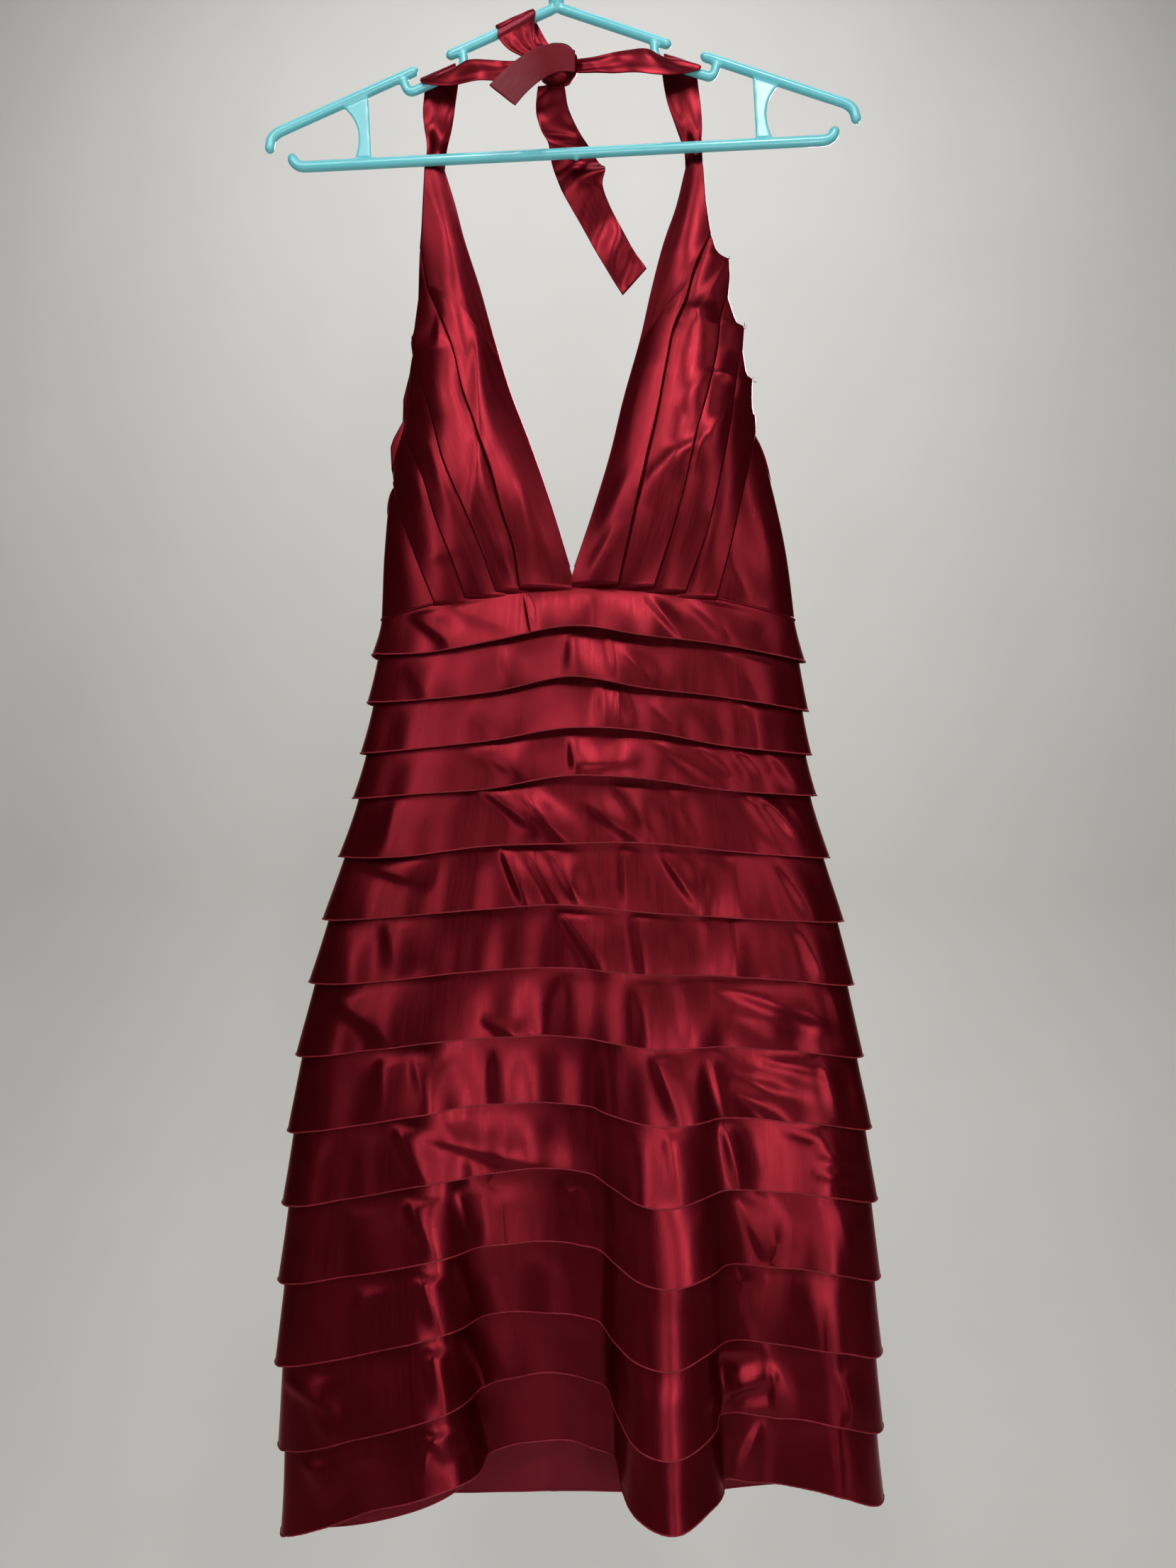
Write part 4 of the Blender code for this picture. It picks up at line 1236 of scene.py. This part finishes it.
# %% The moulding
def hanger_routes():
    """The middle lines of the hanger's rods, each with its diameter, as places across and heights before the tilt."""
    bow_middle = (0.0, ROD / 2 - HOOK_RADIUS)
    turn = arc((6.0, bow_middle[1] - HOOK_RADIUS - 1.0), 6.0, 180, 115, 6)
    yield [(0.0, PEAK - 2), (0.0, PEAK + 14), *turn, *arc(bow_middle, HOOK_RADIUS, -64, 196, 40)], ROD
    yield [(0.0, PEAK - 1.5), (0.0, PEAK + 12)], ROD + 4
    start, end = shoulder(NOTCH_START) - NOTCH_DROP, shoulder(NOTCH_END) - NOTCH_DROP
    notch = [(NOTCH_START, shoulder(NOTCH_START)), (NOTCH_START, start + 3), (NOTCH_START + 3, start - 1)]
    notch += [(NOTCH_END - 3, end + 1.5), (NOTCH_END, end + 3), (NOTCH_END + 3, shoulder(NOTCH_END + 3))]
    outer = [(OUTER_ARM_START, shoulder(OUTER_ARM_START)), (OUTER_ARM_END - 6, shoulder(OUTER_ARM_END - 6))]
    outer += [(OUTER_ARM_END - 1, shoulder(OUTER_ARM_END) - 2), (OUTER_ARM_END + 1, shoulder(OUTER_ARM_END) - 12)]
    upper = [(0.0, shoulder(0)), (UPPER_ARM_END, shoulder(UPPER_ARM_END))]
    for hand in (-1, 1):
        for half, diameter in ((upper, ROD), (notch, ROD - 0.6), (outer, ROD)):
            yield [(hand * across, height) for across, height in half], diameter
    ends = arc((BAR_END, BAR_HEIGHT + 8.0), 8.0, -90, 10, 12)
    yield [(-across, height) for across, height in ends[::-1]] + [(0.0, BAR_HEIGHT)] + ends, BAR
    yield [(8.5, BAR_HEIGHT - 2), (8.5, BAR_HEIGHT - 5.4)], 4.0


def make_hanger():
    """Rods and webs laid on one another, melted into one skin by a voxel remesh and calmed by a smoothing."""
    parts = [(*rod(*route), 0) for route in hanger_routes()] + [(*web(hand), 0) for hand in (-1, 1)]
    piece = new_piece("hanger", parts, [plastic])
    make_outward(piece.data)
    melt = piece.modifiers.new("melt", "REMESH")
    melt.mode, melt.voxel_size, melt.use_smooth_shade = "VOXEL", 0.0009, True
    calm = piece.modifiers.new("calm", "SMOOTH")
    calm.factor, calm.iterations = 0.5, 4
    bpy.context.view_layer.update()
    graph = bpy.context.evaluated_depsgraph_get()
    moulding = bpy.data.meshes.new_from_object(piece.evaluated_get(graph))
    piece.modifiers.clear()
    piece.data = moulding
    moulding.materials.clear()
    moulding.materials.append(plastic)
    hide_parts(*[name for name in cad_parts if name.startswith("hanger_")])
    return piece


hanger = make_hanger()
print("hanger faces:", len(hanger.data.polygons))

# %% [markdown]
# ## Floor, light and camera
#
# A pale floor curves up into a far backdrop. Satin shows the lamps themselves, so the lamps in front are narrow boxes:
# two keys above, two low strips, a tall strip on each side and a small box for the cups. A weak fill, a wash on the
# backdrop and a lamp behind do the rest. The camera stands level with the middle of the dress.


# %% The set
def sweep(floor, wall, bend, half, front):
    """A floor that curves up into a wall: a profile of floor, quarter circle and wall, drawn out sideways."""
    turn = np.linspace(-math.pi / 2, 0, 25)
    depth = np.concatenate([[front], wall - bend + bend * np.cos(turn), [wall]])
    height = np.concatenate([[floor], floor + bend + bend * np.sin(turn), [floor + 7]])
    left = np.stack([np.full(len(depth), -half), depth, height], axis=-1)
    points = np.concatenate([left, left * (-1, 1, 1)])
    count = len(depth)
    faces = [(i + count, i + count + 1, i + 1, i) for i in range(count - 1)]
    mesh = bpy.data.meshes.new("studio_sweep")
    mesh.from_pydata(points.tolist(), [], faces)
    mesh.polygons.foreach_set("use_smooth", np.ones(len(faces), bool))
    material, tree = new_material("pale_paint", Roughness=0.9, Specular_IOR_Level=0.2)
    place = tree.nodes.new("ShaderNodeTexCoord").outputs["Object"]
    dye(tree, place, 3, (0.74, 0.735, 0.71), (0.77, 0.765, 0.74))
    mesh.materials.append(material)
    plane = bpy.data.objects.new("studio_sweep", mesh)
    bpy.context.scene.collection.objects.link(plane)


def lamp(name, place, aim, size, power, colour=(1, 0.985, 0.96), spread=180):
    """A soft box, size = (width, height) and a little warm, that faces a point."""
    light = bpy.data.lights.new(name, "AREA")
    light.shape, light.spread = "RECTANGLE", math.radians(spread)
    light.size, light.size_y, light.energy, light.color = *size, power, colour
    holder = bpy.data.objects.new(name, light)
    holder.location = place
    holder.rotation_euler = (Vector(aim) - Vector(place)).to_track_quat("-Z", "Y").to_euler()
    bpy.context.scene.collection.objects.link(holder)


WHITE = (1, 1, 1)
sweep(floor=-1.75, wall=1.7, bend=0.9, half=9, front=-5)
lamp("key_right", (0.30, -1.05, 0.45), (0.02, 0, -0.5), (0.16, 0.5), 6.8)
lamp("key_left", (-0.16, -1.05, 0.45), (0.02, 0, -0.5), (0.12, 0.5), 4.0)
lamp("low_strip", (0.14, -1.25, -0.88), (0.02, 0, -0.98), (0.10, 0.6), 3.1)
lamp("low_right", (0.50, -1.12, -1.00), (0.02, 0, -0.98), (0.08, 0.4), 2.9)
lamp("left_strip", (-0.75, -1.20, -0.15), (-0.05, 0, -0.7), (0.14, 1.1), 3.4)
lamp("right_strip", (0.95, -1.15, -0.15), (0.08, 0, -0.7), (0.14, 1.1), 3.4)
lamp("fill", (-1.6, -1.7, -0.9), (0, 0, -0.7), (1.2, 1.2), 0.3, WHITE)
lamp("wall_wash", (0, 0.3, 1.9), (0, 1.7, -0.8), (2.2, 0.8), 21, WHITE, spread=110)
lamp("bodice_soft", (-0.38, -1.0, 0.20), (0, 0, -0.35), (0.5, 0.3), 0.42, spread=60)
lamp("back", (0.7, 1.5, 0.4), (0, 0, -0.6), (0.5, 0.5), 4, WHITE, spread=75)
print("lamps:", len(bpy.data.lights))

# %% The room and the camera
world = bpy.data.worlds.new("room")
world.use_nodes = True
world.node_tree.nodes["Background"].inputs["Color"].default_value = (0.62, 0.62, 0.60, 1)
world.node_tree.nodes["Background"].inputs["Strength"].default_value = 0.07
bpy.context.scene.world = world
bpy.context.scene.view_settings.view_transform = "Standard"

camera_data = bpy.data.cameras.new("camera")
camera_data.lens, camera_data.sensor_width = 26, 36
camera = bpy.data.objects.new("camera", camera_data)
camera.location = (EYE_X * MM, -EYE_AWAY * MM, EYE_Z * MM)
camera.rotation_euler = (math.radians(90), 0, 0)
bpy.context.scene.collection.objects.link(camera)
bpy.context.scene.camera = camera
print("camera", EYE_AWAY, "mm before the dress")
